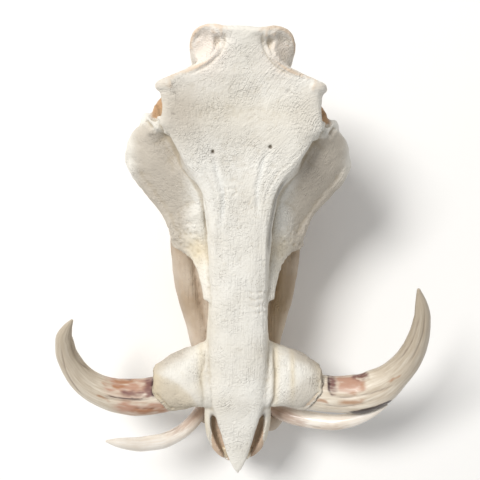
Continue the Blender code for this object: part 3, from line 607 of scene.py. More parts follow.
single = [
    domed(loft(ROOF, steps=200, around=96, power=3), share=0.2),
    loft(MUZZLE, power=SOFT_BOX),
    domed(loft(PREMAXILLA, power=SOFT_BOX)),
    domed(loft(BRAINCASE, power=SOFT_BOX)),
    domed(sweep(NAPE_SHIELD, keep=ALONG_Z, power=SOFT_BOX)),
]
paired = [
    domed(sweep(CHEEK_PLATE, power=SOFT_BOX, facing=BACKWARD)),
    domed(sweep(CHEEK_ARCH, power=SOFT_BOX)),
    domed(sweep(BROW_HOOK)),
    domed(sweep(BROW_RIM)),
    domed(sweep(TUSK_FLANGE, power=3, facing=SIDEWAYS), share=0.1),
    domed(sweep(CREST_WING)),
    domed(sweep(PTERYGOID_PLATE, power=SOFT_BOX)),
    domed(sweep(NECK_SPUR, keep=ALONG_Z)),
]
round_parts = [NECK_KNUCKLE, EAR_BULB, SOCKET_FLOOR, CUP_FLOOR, HINGE_PAD] + BROW_KNOBS
paired += [ball(*row) for row in round_parts]
hollow_single = [loft(rows, power=SOFT_BOX) for rows in (NASAL_PASSAGE, PALATE_VAULT)] + [ball(*SPINE_HOLE)]
hollow_paired = [
    sweep(NOSE_SLIT, facing=BACKWARD, power=SOFT_BOX), domed(sweep(TEMPLE_CUP, keep=ALONG_Z)),
    ball(*EYE_SOCKET), ball(*CHEEK_HOLE),
]
solid = single + mirrored(paired)
hollow = hollow_single + mirrored(hollow_paired) + SOCKETS["upper"]
skull_mesh = melted("cranium_bone", solid, hollow, SKULL_GRAIN, SKULL_ROUNDS)
print("cranium points:", len(skull_mesh.vertices))

# %% [markdown]
# ## The cranium's relief
#
# Along the forehead's edge runs a raised lip with a crease outside it, where a chewing muscle began, and a
# broad trough lies between it and the cheek plate. Two holes for the brow's nerves each open into a shallow
# groove. Each is a line of points seen from above, drawn once for both sides, or once for each where they
# differ.

# %% Lines seen from above
RIDGE = [
    (56.5, 81.7), (53, 72), (48, 63), (39, 53.5), (31, 46.5), (26.5, 38), (23.2, 28), (21.2, 14), (20.4, 0),
    (20.5, -15), (20.8, -60), (21.5, -110),
]
CREASE = [
    (63.6, 77), (58, 71), (53.5, 64.5), (49, 56), (44.5, 48.7), (36, 39.7), (29, 28), (25.4, 14), (24.2, 0),
]
TROUGH = [(62, 76), (57, 64), (51, 52), (45, 41), (39, 29), (36, 18)]
EYE_TROUGH = [(61, 78), (56, 68), (50, 57), (45, 48)]
DARK_GROOVE = [(34, 47), (28.5, 38), (25.6, 30), (23.5, 17), (21.8, 2), (21.4, -12)]
KNOB_CREASES = [
    [(66, 87), (61.5, 84), (58.5, 79.5), (57, 73)], [(69.5, 85), (65.5, 80), (62.5, 74.5)],
]
FLANGE_GROOVE = [(28.2, -83), (28.4, -100), (28, -118), (27.2, -136)]
FLANGE_FACET = [(68, -105), (56, -109), (46, -114.5), (37, -123), (30, -136)]
CUP_RIM = [(15.8, 142), (15, 136), (17.2, 128.5), (22.2, 122.5), (30, 117.5), (42, 112.5)]
NERVE_GROOVES = [
    [(-20.5, 62.6), (-17.8, 49.8), (-14.1, 37.8), (-12.7, 30.5), (-13.7, 15), (-15, 7.4)],
    [(20.3, 66), (15.4, 56), (13.7, 46.5), (11.9, 38), (12.3, 27.5), (13.7, 15)],
]
SECOND_GROOVES = [
    [(-14.5, 48), (-11.5, 38), (-10.2, 28), (-10.8, 14)], [(17.5, 52), (16.2, 42), (15.2, 30), (15.8, 16)],
]
SUTURES = [
    [(-12, 38.4), (-9.5, 36), (-7.8, 38), (-5.5, 36.6), (-3.8, 38.2), (-3.4, 34.5), (-5.6, 32.6),
    (-8.2, 31)], [(-12, 38.4), (-11, 34), (-12.2, 31), (-9.6, 29.4)],
    [(12.4, 33.2), (9.6, 32.4), (7.6, 30), (6, 26.5), (4.6, 25)], [(10.4, 29.6), (9.2, 26), (8.2, 22)],
    [(13.2, 30), (11.6, 26), (11.2, 21)],
]
MIDLINE = [(0.4, 16), (0, -10), (0.6, -35), (0.2, -60), (0.5, -95), (0.2, -130)]
WRINKLES = [
    [(5.4, -38), (11, -40.5), (17, -39.5), (22.5, -42)], [(6.4, -43), (12, -46), (18, -44.5), (23, -47.5)],
    [(5.8, -49), (11.5, -51), (17.5, -50.2), (23, -53)], [(7.6, -55), (13, -56.2), (19, -55.5), (23, -58.4)],
]

# %% Where the two sides of the real skull differ: centre, radii and move
PUSHES = [
    ((57, 105, 188), (20, 14, 22), (-1.5, 2.6, 0)), ((76, 36, 115), (26, 34, 45), (-5, -1, 0)),
    ((-74, 34, 115), (22, 28, 45), (3.2, 0, 0)),
]

# %% Carve and raise the relief, in units along the skin's normal
def skin_facts(mesh):
    """Points, normals, edges, then in units the places, those with x made positive, the plan as seen, and the
    depth under the roof's line, and from 0 to 1 how far each point belongs to the top."""
    points, normals, edges = read_skin(mesh)
    real = drawn(points)
    half = np.hstack([np.abs(real[:, :1]), real[:, 1:]])
    depth = np.interp(real[:, 1], *np.array(ROOF)[:, :2].T) - real[:, 2]
    top = ramp(normals[:, 2], 0, 0.35) * (1 - ramp(depth, 7, 12))
    return points, normals, edges, real, half, in_plan(points), depth, top


def skull_relief(mesh):
    """Bells across the drawn lines, each times its height, and noise of a few cell sizes."""
    points, normals, _, real, half, seen, depth, top = skin_facts(mesh)
    x, y, z = real.T
    out, both = half[:, 0], half[:, :2]
    up = ramp(normals[:, 2], 0, 0.35)
    beyond = ramp(normals[:, 2], -0.5, 0.1)
    edge = (1 - ramp(depth, 16, 24)) * beyond
    wall = (1 - ramp(depth, 36, 50)) * beyond
    strokes = [
        (wall, both, [CREASE], -1.7, 1.6),
        (top, both, [RIDGE], 0.6, 3, -1.6),
        (edge, real[:, :2], [DARK_GROOVE], -2.2, 1.3, 0.4),
        (up * (z > 100), both, [TROUGH], -3.5, 9),
        (up * (z > 100), both, [EYE_TROUGH], -3.5, 7, 2, 0.3),
        (z < 178, both, KNOB_CREASES, -1.7, 1.3),
        (z < 178, both, KNOB_CREASES, 0.8, 1.5, 2.8),
        (top, both, [CUP_RIM], 1.1, 1.2, 0, 0.3),
        (top, both, [CUP_RIM], -0.9, 1, -2.4, 0.3),
        (top, seen, NERVE_GROOVES, -0.75, 2, 0, 0.2),
        (top, seen, NERVE_GROOVES, 0.45, 1.4, 3, 0.2),
        (top, seen, NERVE_GROOVES, 0.3, 1.2, -3, 0.2),
        (top, seen, SECOND_GROOVES, -0.55, 0.9, 0, 0.3),
        (top, seen, SUTURES, -0.4, 0.8),
        (top, seen, [MIDLINE], -0.12, 1.2),
        (top, seen, WRINKLES, -0.5, 1.2),
    ]
    height = np.zeros(len(points))
    for where, plan, paths, rise, *width_offset_fade in strokes:
        for path in paths:
            height += where * rise * along_line(plan, path, *width_offset_fade)
    for groove in NERVE_GROOVES:
        height -= top * 4 * blob(seen, groove[0], (1, 1))
    gap, side, along = beside(both, smooth_path(RIDGE))
    fibres = noise(np.stack([gap * side, along * 200, 0 * gap], axis=1), (1.5, 26, 1), 20)
    height += wall * 0.6 * bell(gap, 8) * (y > -70) * (y < 76) * fibres
    rough = blobs(seen, [(1, (17, -48), (8, 15)), (0.6, (22, -95), (4, 30))])
    height += top * rough * 0.45 * noise(real, 2.3, 18)
    wavy = both + 2 * noise(real, 13, 24)[:, None]
    groove = (y < -80) * (y > -140) * (z > 90) * along_line(wavy, FLANGE_GROOVE, 1.5)
    height -= np.where(x > 0, 1.7, 0.7) * groove
    flange = ramp(out, 27, 33) * (y < -84) * (y > -140)
    gap, side, _ = beside(both, smooth_path(FLANGE_FACET))
    height -= flange * up * 0.15 * np.clip(gap * side, 0, 22)
    border = ramp(-y, -24, -4) * ramp(out, 26, 34) * (y > -24) * (z > 95)
    plate_rim = ramp(out, 60, 76) * (y > 30) * (z < 150)
    for where, rise, cell, seed in (
        (flange, 0.6, 6.5, 11), (flange * ramp(out, 60, 67), 0.8, 3, 12), (border, 0.8, 2.8, 13),
        (plate_rim, 0.7, 6, 14), (1, 0.3, 14, 15), (1, 0.1, 5, 16), (1, 0.13, 2.6, 17),
    ):
        height += where * rise * noise(real, cell, seed)
    return height


def raise_skin(mesh, height):
    """Moves every point along its normal by its height in units."""
    points, normals, _ = read_skin(mesh)
    write_points(mesh, points + normals * height[:, None] * UNIT)


height = skull_relief(skull_mesh)
raise_skin(skull_mesh, height)
points = read_skin(skull_mesh)[0]
for centre, radii, move in PUSHES:
    points += blob(drawn(points), centre, radii)[:, None] * np.array(move) * UNIT
write_points(skull_mesh, points)
print("relief from", round(height.min(), 2), "to", round(height.max(), 2), "units")

# %% [markdown]
# ## Fewer triangles
#
# The melted skin has many more faces than its shape needs. Decimate folds away the edges that matter least,
# so flat places get large triangles and creases keep small ones.

# %% Thin out
MOST_SKULL_TRIANGLES, MOST_JAW_TRIANGLES = 195000, 120000


def thinned(mesh, most):
    """The mesh with the cheapest edges collapsed until it has at most that many triangles."""
    mesh.calc_loop_triangles()
    held = make_object(mesh.name + "_full", mesh)
    modify(held, "DECIMATE", ratio=min(1, most / len(mesh.loop_triangles)), use_collapse_triangulate=True)
    made = applied(mesh.name, held)
    made.materials.clear()
    made.shade_smooth()
    return made


skull_mesh = thinned(skull_mesh, MOST_SKULL_TRIANGLES)
print("cranium triangles:", len(skull_mesh.polygons))

# %% [markdown]
# ## Where the bone changes colour
#
# Old bone is palest where the sun reached it, and tan or brown in its hollows. A texture can't know where a
# hollow is, but numpy can: it works out a number from 0 to 1 for every point and stores it on the mesh as an
# attribute, which the material reads by name. Some of these masks are painted shade or painted light: darker
# hollows, holes, grooves and gaps, greyer sides that are partly weathered tone, and brighter temple cups. The
# flow attribute is the distance from the ridge line and the length along it, so that fine streaks run beside
# the ridge wherever it turns.

# %% Masks for the cranium
def store(mesh, name, values):
    """Puts a number, or a vector, for each point on the mesh under that name."""
    kind, word = ("FLOAT", "value") if np.ndim(values) == 1 else ("FLOAT_VECTOR", "vector")
    values = np.asarray(values, np.float32).ravel()
    mesh.attributes.new(name, kind, "POINT").data.foreach_set(word, values)


def dirt_and_shade(mesh):
    """Hollowness read at a fine and at a broad scale, added up and limited to -1 to 1: painted shade and dirt
    in hollows and creases.
    """
    skin = read_skin(mesh)
    return np.clip(hollowness(*skin, 5) * 2.2 + hollowness(*skin, 40) * 0.6 - 0.1, -1, 1)


def skull_masks(mesh):
    """Products of steps and sums of blobs, one mask for each colour, and the flow beside the ridge."""
    points, normals, edges, real, half, seen, depth, top = skin_facts(mesh)
    x, y, z = real.T
    out, both = half[:, 0], half[:, :2]
    mask = {name: np.zeros(len(points)) for name in ("pale", "dark")}
    eye = np.linalg.norm((half - EYE_SOCKET[:3]) / np.array(EYE_SOCKET[3:]), axis=1)
    inside_eye = (1 - ramp(eye, 1.01, 1.06)) * (1 - ramp(out, 63.5, 66.5))
    underside = (1 - ramp(z, 96, 108)) * ramp(-normals[:, 2], 0.2, 0.7)
    nose = (out < 21) * (y < -140) * ramp(depth, 5, 10) * (z > 76)
    mask["tan"] = np.max([inside_eye, underside * 0.5, nose * 0.7], axis=0)
    # Painted light over a faint pinkish tint: the temple cups are brightened, half as much on the x > 0 side,
    # away from the key lamp.
    cup_tint_and_light = blob(half, (25, 130, 198), (13, 16, 24)) * np.where(x > 0, 0.5, 1)
    mask["cup_tint_and_light"] = cup_tint_and_light
    rim = ramp(-hollowness(points, normals, edges, 8), 0.12, 0.4) * (y > 96) * (z > 176)
    for centre, radii in (((56, 105, 187), (9, 9, 14)), ((19, 126, 200), (8, 12, 16))):
        rim = rim * (1 - 0.9 * blob(half, centre, radii))
    mask["ochre"] = rim * ramp(out, 8, 15)
    gap, side, _ = beside(both, smooth_path(FLANGE_FACET))
    porous = (y < -84) * (y > -140) * ramp(out, 28, 33) * ramp(gap * side, -1.5, 2)
    porous = np.maximum(porous, blob(half, (32, -8, 112), (8, 12, 14)))
    mask["porous"] = porous
    mask["yellow"] = 0.3 * porous * (x < 0) + blobs(half, [
        (0.5, (31, -4, 112), (9, 12, 14)), (0.8, (29, -40, 92), (8, 40, 22)),
        (0.35, (66, -112, 92), (5, 20, 20)), (0.5, (26, -150, 84), (6, 14, 14)),
    ]) + blobs(real, [
        (0.8, (29.8, -108, 100), (2.4, 26, 12)), (0.6, (-29.5, -104, 100), (3, 20, 12)),
        (0.7, (42.8, -106, 104), (2.2, 18, 12)), (0.25, (4, 88, 190), (34, 9, 12)),
    ])
    # Along each nerve groove the pale band is the bone's colour; the dark at its start is painted shade in
    # the nerve hole.
    for groove in NERVE_GROOVES:
        gap = np.linalg.norm(seen - np.array(groove[0]), axis=1)
        mask["pale"] += top * along_line(seen, groove, 1.9, fade=0.2)
        mask["dark"] += top * (1 - ramp(gap, 0.7, 1.6))
    # Painted shade: the dark mask darkens the dark groove, the nose slit's upper end, the flange groove, the
    # top of the cheek plate and the gap where the flange meets the tusk, the last three more on the x > 0
    # side, away from the key lamp. The spots are small dark marks.
    spots = ((-48.2, 88), (-47.2, 101.1), (-44, 96), (3, 124), (31, 103), (17, 136.5), (10, -96))
    groove = along_line(real[:, :2], DARK_GROOVE, 1, offset=0.5) * (depth < 20) * (normals[:, 2] > -0.3)
    wavy = both + 2 * noise(real, 13, 24)[:, None]
    flange_groove_shade = (y < -84) * (y > -138) * (z > 88) * along_line(wavy, FLANGE_GROOVE, 1.1)
    border = ramp(out, 66.2, 67.6) * (y < -98) * (y > -132) * (z > 84)
    mask["dark"] += 0.45 * top * blobs(seen, [(1, spot, (0.9, 0.9)) for spot in spots])
    mask["dark"] += 0.45 * groove + 0.8 * blob(half, (20.6, -141.5, 96), (2, 3.6, 9))
    plate_shade = blob(half, (54, 58, 142), (11, 17, 16)) * (normals[:, 2] > 0)
    border = border * ramp(noise(real, 2.2, 19), -0.4, 0.2)
    for left, right, stained in ((0.42, 0.12, flange_groove_shade), (0.32, 0.1, plate_shade), (0.75, 0.4, border)):
        mask["dark"] += np.where(x > 0, left, right) * stained
    # Painted shade and dirt in the hollows, kept out of the temple cups and the pale grooves.
    mask["dirt_and_shade"] = dirt_and_shade(mesh) * (1 - 0.8 * cup_tint_and_light) * (1 - np.clip(mask["pale"], 0, 1))
    # Partly the bone's own greyer, weathered tone and partly painted shade: this greys the cheek plates below
    # the roof's edge, the forehead's sides, most on x < 0, the x > 0 temple cup, and the porous flange
    # facets, most on x < 0.
    plate = ramp(out, 34, 46) * (1 - ramp(out, 74, 84)) * (z < 165) * (y < 82)
    temple = blobs(real, [
        (1, (-44, 90, 185), (17, 26, 20)), (0.35, (46, 96, 185), (10, 16, 20)),
        (0.9, (27, 130, 192), (9, 13, 16)),
    ])
    facet = np.where(x < 0, 0.95, 0.5) * porous * (y < -84)
    grey_tone_and_shade = np.clip(plate * ramp(depth, 8, 16) + temple + facet, 0, 1)
    mask["grey_tone_and_shade"] = softened(grey_tone_and_shade, edges, 12)
    for name, values in mask.items():
        store(mesh, name, np.clip(values, -1, 1))
    gap, side, along = beside(both, smooth_path(RIDGE))
    store(mesh, "flow", np.stack([gap * side, along * 200, 0.3 * z], axis=1))


skull_masks(skull_mesh)
print("attributes:", [a.name for a in skull_mesh.attributes if a.domain == "POINT"])

# %% [markdown]
# ## The lower jaw
#
# The two halves of the jaw are fused at the chin into one bone, which carries the lower tusks. Its rear
# corners and its chin are what the skull stands on, so everything under the ground is pressed flat.

# %% Stations of the lower jaw, for the left side
JAW_BODY = [
    (12, -158, 40, 9, 12), (18, -143, 34, 12, 17), (21, -125, 30, 12.5, 20), (25.5, -102, 26.5, 11.5, 23),
    (32.5, -75, 26.5, 10.5, 24), (41, -45, 27.5, 10.5, 25), (45.5, -15, 28.5, 10.5, 26),
    (47, 15, 31, 10, 29.5), (48, 40, 34, 8.8, 37), (48.5, 62, 41.5, 7.6, 46.5), (48.5, 80, 48, 6.8, 49),
    (48, 94, 60, 5.5, 40),
]
JAW_CHIN = [
    (-172, 44, 35, 16, 12, 1), (-164, 49, 27, 22.5, 17, 3), (-150, 52, 17, 27.5, 21, 5),
    (-135, 53.5, 8, 27, 22, 6), (-115, 51, -2, 24, 20, 6), (-98, 44, -2, 22, 18, 5), (-86, 36, 4, 16, 14, 3),
]
TOOTH_SHELF = [
    (17, -100, 36, 7, 13), (19.5, -75, 37, 8, 15), (22.5, -45, 38.5, 9.5, 15), (25, -15, 39.5, 11, 15),
    (27.5, 15, 40.5, 12, 14.5), (30, 42, 42, 12, 14), (36, 60, 46, 10, 12),
]
JAW_BRANCH = [
    (48, 66, 10, 6.5, 16), (48.5, 71, 26, 6.8, 25), (49, 76, 48, 6.4, 30), (48.5, 80, 68, 5.6, 30),
    (47.5, 84, 86, 5, 26.5), (45.8, 89, 104, 4.6, 22), (43.8, 94, 118, 4.6, 17), (43.2, 101, 129, 4.4, 9.5),
]
JAW_HORN = [(45.5, 76, 100, 3.8, 12), (43, 73, 118, 3.2, 8.5), (41.5, 74, 131, 2.4, 5)]
JAW_HINGE = [
    (31, 104, 130, 4, 3.5), (36, 105, 131, 6, 5.5), (43, 105.5, 131.5, 7, 6.5), (50, 105, 130.5, 6, 5.5),
    (54.5, 104, 129, 3.8, 3.5),
]
TUSK_ROOT_SWELLINGS = [(29.5, -149, 43, 12.5, 17, 13), (-25.5, -145, 43, 9.5, 14, 12)]
NERVE_HOLE = (38.5, -70, 28, 5, 6, 4)

# %% Melt the jaw
JAW_GRAIN = 0.0012
JAW_ROUNDS = 12

paired = [
    domed(sweep(JAW_BODY, power=SOFT_BOX, steps=120)),
    domed(sweep(TOOTH_SHELF, power=SOFT_BOX)),
    domed(sweep(JAW_BRANCH, keep=ALONG_Z, power=SOFT_BOX)),
    domed(sweep(JAW_HORN, keep=ALONG_Z)),
    domed(sweep(JAW_HINGE)),
]
single = [domed(loft(JAW_CHIN, power=SOFT_BOX))] + [ball(*row) for row in TUSK_ROOT_SWELLINGS]
solid = single + mirrored(paired)
hollow = mirrored([ball(*NERVE_HOLE)]) + SOCKETS["lower"]
jaw_mesh = melted("lower_jaw_bone", solid, hollow, JAW_GRAIN, JAW_ROUNDS)


def jaw_relief(mesh):
    """Noise of two cell sizes, and a rough scar outside each rear corner, where a muscle held on."""
    real = drawn(read_skin(mesh)[0])
    height = 0.5 * noise(real, 12, 21) + 0.25 * noise(real, 5, 22)
    scars = blobs(real, [(1, (54, 72, 30), (12, 26, 24)), (1, (-54, 72, 30), (12, 26, 24))])
    return height + scars * 0.9 * noise(real, (4, 4, 9), 23)


def press_flat(mesh):
    """Lifts every point that is under the ground to 0."""
    points = read_skin(mesh)[0]
    points[:, 2] = np.maximum(points[:, 2], 0)
    write_points(mesh, points)
    return drawn(points)


raise_skin(jaw_mesh, jaw_relief(jaw_mesh))
press_flat(jaw_mesh)
jaw_mesh = thinned(jaw_mesh, MOST_JAW_TRIANGLES)
real = press_flat(jaw_mesh)
# Painted shade and dirt in the jaw's hollows.
store(jaw_mesh, "dirt_and_shade", dirt_and_shade(jaw_mesh))
store(jaw_mesh, "flow", real * (1, 0.12, 1))
store(jaw_mesh, "yellow", blob(real, (30, -50, 50), (14, 60, 24)))
print("lower jaw triangles:", len(jaw_mesh.polygons))

# %% [markdown]
# ## Tusk surfaces
#
# Dentine grows in long thin flutes, and where the tusk leaves the gum it is stained plum and rust. The flutes
# are noise that is stretched along the sweep. The furrows and stains are brush strokes in plan, set where
# they lie on the real tusks, with edges that noise pushes about. The furrows also take painted shade and
# dirt.

# %% Build a tusk
def tusk(name, stations, flute, steps, around):
    """A sweep whose radius gains long thin noise, with its share of the length kept as the root and as a grey
    tip that is partly painted shade.
    """
    rings = outward(domed(sweep(stations, steps=steps, around=around), share=0.8))
    centre = rings.mean(axis=1, keepdims=True)
    length = np.linalg.norm(np.diff(centre[:, 0], axis=0), axis=1)
    along = np.concatenate([[0], np.cumsum(length)])[:, None]
    cosine, sine = circle(around)
    flow = np.stack(np.broadcast_arrays(10 * cosine, 10 * sine, along / 16), axis=2).reshape(-1, 3)
    spoke = rings - centre
    radius = np.linalg.norm(spoke, axis=2)
    height = flute * (noise(flow, 1.7, 31) + 0.6 * noise(flow, (6, 6, 0.35), 32))
    rings = centre + spoke * (1 + height.reshape(radius.shape) / np.maximum(radius, 1))[:, :, None]
    mesh = make_mesh(name, [rings])
    share = (along / along[-1] + 0 * sine).ravel()
    store(mesh, "flow", flow)
    store(mesh, "grey_tip_and_shade", ramp(share, 0.3, 0.95))
    store(mesh, "root", 1 - ramp(share, 0.14, 0.42))
    return mesh


def stain(mesh, marks):
    """Carves the furrows 0.5 units deep and paints shade and dirt along them, and stores for each colour the
    greatest of its strokes, thinned by streaks and cut at 0.05 to 1, on the upper side alone."""
    points, normals, _ = read_skin(mesh)
    seen = in_plan(points)
    up = ramp(normals[:, 2], -0.3, 0.1)
    furrows = [row[1:] for row in marks if row[0] == "furrow"]
    line = sum(along_line(seen, path, width, fade=0.2) for width, path in furrows)
    depth = sum(along_line(seen, path, width + 0.4, fade=0.2) for width, path in furrows)
    write_points(mesh, points - normals * (0.5 * up * np.clip(depth, 0, 1))[:, None] * UNIT)
    flow = read_array(mesh.attributes["flow"].data, "vector").astype(float)
    streak = 0.7 * noise(flow, (1.3, 1.3, 0.5), 41) + 0.5 * noise(flow, (0.6, 0.6, 0.22), 44)
    pushed = [noise(points / UNIT, cell, seed) for cell, seed in ((4, 42), (3, 43))]
    seen = seen + 0.8 * np.stack(pushed, axis=1)
    store(mesh, "dirt_and_shade", up * 0.7 * np.clip(line * (0.8 + 0.6 * streak), 0, 1))
    for stroke in ("plum", "wine", "rose", "rust"):
        mask = np.zeros(len(seen))
        for colour, width, path in marks:
            if colour == stroke:
                mask = np.maximum(mask, along_line(seen, path, width, fade=0.22))
        store(mesh, stroke, ramp(mask * (0.85 + 0.65 * streak), 0.05, 1) * up)


def shaded_worn_underside(mesh):
    """A dark mask to the right of the line, streaky and fading out at both ends: painted shade under the tusk
    above the lower tusk, over a dark stained wear facet.
    """
    points, normals, _ = read_skin(mesh)
    gap, where, along = beside(in_plan(points), smooth_path(UNDERSIDE))
    worn = (where < 0) * ramp(gap, 0, 1.6) * ramp(along, 0, 0.45)
    worn = worn * (1 - ramp(along, 0.9, 1)) * ramp(normals[:, 2], -0.6, 0.1)
    return ramp(worn * (1 + 0.8 * noise(points / UNIT, (6, 2, 2), 45)), 0.05, 0.7)


# %% Furrows and stains, in plan: colour, width and line
MARKS = {
    "upper_left": [
        ("furrow", 0.6, [(70, -124.5), (84, -125.3), (94, -124.2), (111.7, -118.8), (123.9, -112.5)]),
        ("furrow", 0.5, [(64, -131), (80, -133.5), (96, -131), (110, -125)]),
        ("furrow", 0.35, [(120, -98), (127, -86), (131, -73), (133, -56)]),
        ("furrow", 0.35, [(129, -98), (134.5, -83), (137, -68), (136, -50)]),
        ("plum", 3.4, [(79, -104), (76.2, -111), (75.4, -117.5), (78, -126)]),
        ("plum", 3.8, [(90, -108), (97, -108.5), (105, -106)]),
        ("wine", 1.2, [(76.6, -104), (73.4, -111.5), (72.6, -118), (75.8, -126)]),
        ("wine", 1.4, [(92, -105.5), (98, -105.6), (105, -102.5)]),
        ("rose", 8, [(76, -114), (88, -115), (102, -110)]),
        ("rust", 2, [(101, -112), (97, -119), (88, -123.2)]), ("rust", 1.5, [(60, -127.5), (74, -130)]),
        ("rust", 2.4, [(78, -129.5), (90, -129.8), (103, -126)]), ("rust", 1, [(116, -113), (127, -104)]),
    ],
    "upper_right": [
        ("furrow", 0.5, [(-112, -121.5), (-102.9, -124.8), (-95.8, -126.1), (-81.5, -127.3), (-64, -125.7)]),
        ("furrow", 0.55, [(-137, -80), (-134.5, -100.9), (-127.4, -115.7), (-120.4, -124.2)]),
        ("furrow", 0.4, [(-129.6, -76), (-128, -86), (-124, -95), (-116, -103.5)]),
        ("furrow", 0.4, [(-84, -133), (-72, -134.5), (-62, -134)]),
        ("plum", 5.6, [(-70, -108), (-71, -117), (-69, -127)]),
        ("plum", 2, [(-70, -121), (-84, -121.8), (-96, -119.8)]),
        ("wine", 2.2, [(-67.4, -108), (-67.6, -117), (-67, -127)]),
        ("wine", 0.9, [(-79, -109.6), (-87, -111.4), (-95, -110)]),
        ("wine", 0.7, [(-108, -121.2), (-99, -123.6), (-88, -125.4), (-70, -125.8)]),
        ("rose", 9, [(-60, -117), (-84, -117), (-110, -110)]),
        ("rose", 6.6, [(-46, -133), (-72, -135), (-104, -129)]),
        ("rust", 3.2, [(-54, -135.5), (-70, -137), (-88, -135)]),
        ("rust", 1.5, [(-80, -112), (-90, -113.4), (-102, -110)]),
        ("rust", 0.9, [(-86, -116), (-98, -116.5), (-110, -112)]),
        ("rust", 1, [(-100, -128), (-112, -121)]),
    ],
    "lower_left": [
        ("furrow", 0.35, [(59, -154), (64, -155), (70, -155.4)]),
        ("plum", 5, [(28, -144), (44, -148), (62, -153)]),
        # This rose stroke along the lower rim is partly the tusk's brownish rim and partly painted shade.
        ("rose", 4.5, [(32, -154), (60, -158), (96, -152)]),
    ],
    "lower_right": [
        ("furrow", 0.35, [(-44, -152.5), (-52, -157), (-64, -160.5)]),
        ("plum", 4, [(-28, -141), (-44, -154), (-62, -160.5)]),
    ],
}
UNDERSIDE = [
    (78, -139), (92, -136.4), (101.4, -133.6), (109, -131.6), (115.6, -128.9), (123, -125.6),
]
print("strokes:", {tusk_name: len(rows) for tusk_name, rows in MARKS.items()})

# %% [markdown]
# ## Cheek teeth and front teeth
#
# The long molars are rows of enamel columns worn level, so a loft with rippled sides and low cusps gives
# their look. The front teeth are short tapering pegs.

# %% Build the teeth
COLUMN, CUSP = 5.2, 4.6  # units from one enamel column to the next, and from one cusp to the next


def cheek_tooth(stations, aside):
    """A loft whose half width gains 9% of cos(2 pi y / column), and whose ends gain cusps of 0.45 units."""
    rings = loft(stations, steps=110, around=72, power=SOFT_BOX)
    low, high = rings[:, :, 2].min(axis=1, keepdims=True), rings[:, :, 2].max(axis=1, keepdims=True)
    level = (rings[:, :, 2] - low) / (high - low)
    wave = np.cos(2 * np.pi * rings[:, :, 1] / COLUMN)
    rings[:, :, 0] *= 1 + 0.09 * wave
    biting = np.abs(2 * level - 1) ** 6
    cusps = 1 - np.cos(2 * np.pi * rings[:, :, 0] / CUSP) * wave
    rings[:, :, 2] -= 0.45 * biting * cusps * np.sign(level - 0.5)
    rings[:, :, 0] += aside
    return domed(rings, share=0.3)


def peg_tooth(stations, sign):
    """A sweep with rounded ends, mirrored for the other side."""
    return domed(sweep(stations, steps=50, around=32), share=0.5) * np.array([sign, 1, 1])


# %% [markdown]
# ## Colours and nodes
#
# Colours are picked as sRGB hex values, but a renderer adds light up in linear numbers, so one function
# turns them over. A second one adds a node with its settings and links. Patterns use Object coordinates, in
# metres, or the stored attributes, so each scale below is 1 over a size in metres.

# %% Helpers for materials
def linear(hex_code):
    """sRGB to linear: c / 12.92 up to 0.04045, and ((c + 0.055) / 1.055) to the power 2.4 above it."""
    part = np.array([int(hex_code[i : i + 2], 16) for i in (1, 3, 5)]) / 255
    part = np.where(part <= 0.04045, part / 12.92, ((part + 0.055) / 1.055) ** 2.4)
    return (*part.tolist(), 1)


def add_node(tree, kind, inputs=None, out=0, **settings):
    """Adds a node, sets its properties, gives each input a value or a link, and hands back one output."""
    node = tree.nodes.new("ShaderNode" + kind)
    for key, value in settings.items():
        setattr(node, key, value)
    for key, value in (inputs or {}).items():
        if isinstance(value, bpy.types.NodeSocket):
            tree.links.new(value, node.inputs[key])
        else:
            node.inputs[key].default_value = value
    return node.outputs[out]


def new_material(name, roughness, ior):
    """A Principled surface that isn't metal, with its even values set on the shader itself."""
    made = bpy.data.materials.new(name)
    made.use_nodes = True
    shader = made.node_tree.nodes["Principled BSDF"]
    for socket, value in (("Roughness", roughness), ("IOR", ior), ("Metallic", 0)):
        shader.inputs[socket].default_value = value
    return made, made.node_tree, shader


def painted(tree, colour, layers):
    """Mixes each layer's colour over what is there, by its mask or attribute times its strength."""
    for mask, strength, hex_code in layers:
        if isinstance(mask, str):
            mask = add_node(tree, "Attribute", out="Fac", attribute_name=mask)
        amount = add_node(tree, "Math", {0: mask, 1: strength}, operation="MULTIPLY", use_clamp=True)
        colour = add_node(tree, "Mix", {0: amount, 6: colour, 7: linear(hex_code)}, out=2, data_type="RGBA")
    return colour


def ramp_between(tree, factor, low, high, dark, pale):
    """A colour ramp with two stops."""
    ramp = add_node(tree, "ValToRGB", {"Fac": factor})
    for stop, place, hex_code in zip(ramp.node.color_ramp.elements, (low, high), (dark, pale)):
        stop.position = place
        stop.color = linear(hex_code)
    return ramp


print("white is", linear("#ffffff")[:3])

# %% [markdown]
# ## Sun-bleached bone
#
# The cranium's bone is dry and chalky: it scatters light and hardly shines. It has pores well under a
# millimetre wide, drawn 1.6 mm apart so that they show, worm-like pits of about 2.5 mm, and streaks beside
# the ridges. Noise gives the broad tones, Voronoi cells the pores, and the flow attribute carries the
# streaks. The stored masks paint the tan sockets and the ochre rims, painted shade in the nerve holes,
# grooves, gaps and hollows and on the greyed sides, and painted light in the temple cups.

# %% Bone material
PORE_GAP = 0.0016
NOISES = {  # size in metres, detail, roughness and distortion
    "broad": (0.04, 3, 0.5, 0),
    "mottle": (0.005, 4, 0.65, 0),
    "patches": (0.012, 2, 0.5, 0),
    "worms": (0.0022, 2, 0.5, 0.8),
    "calm": (0.022, 2, 0.5, 0),
}


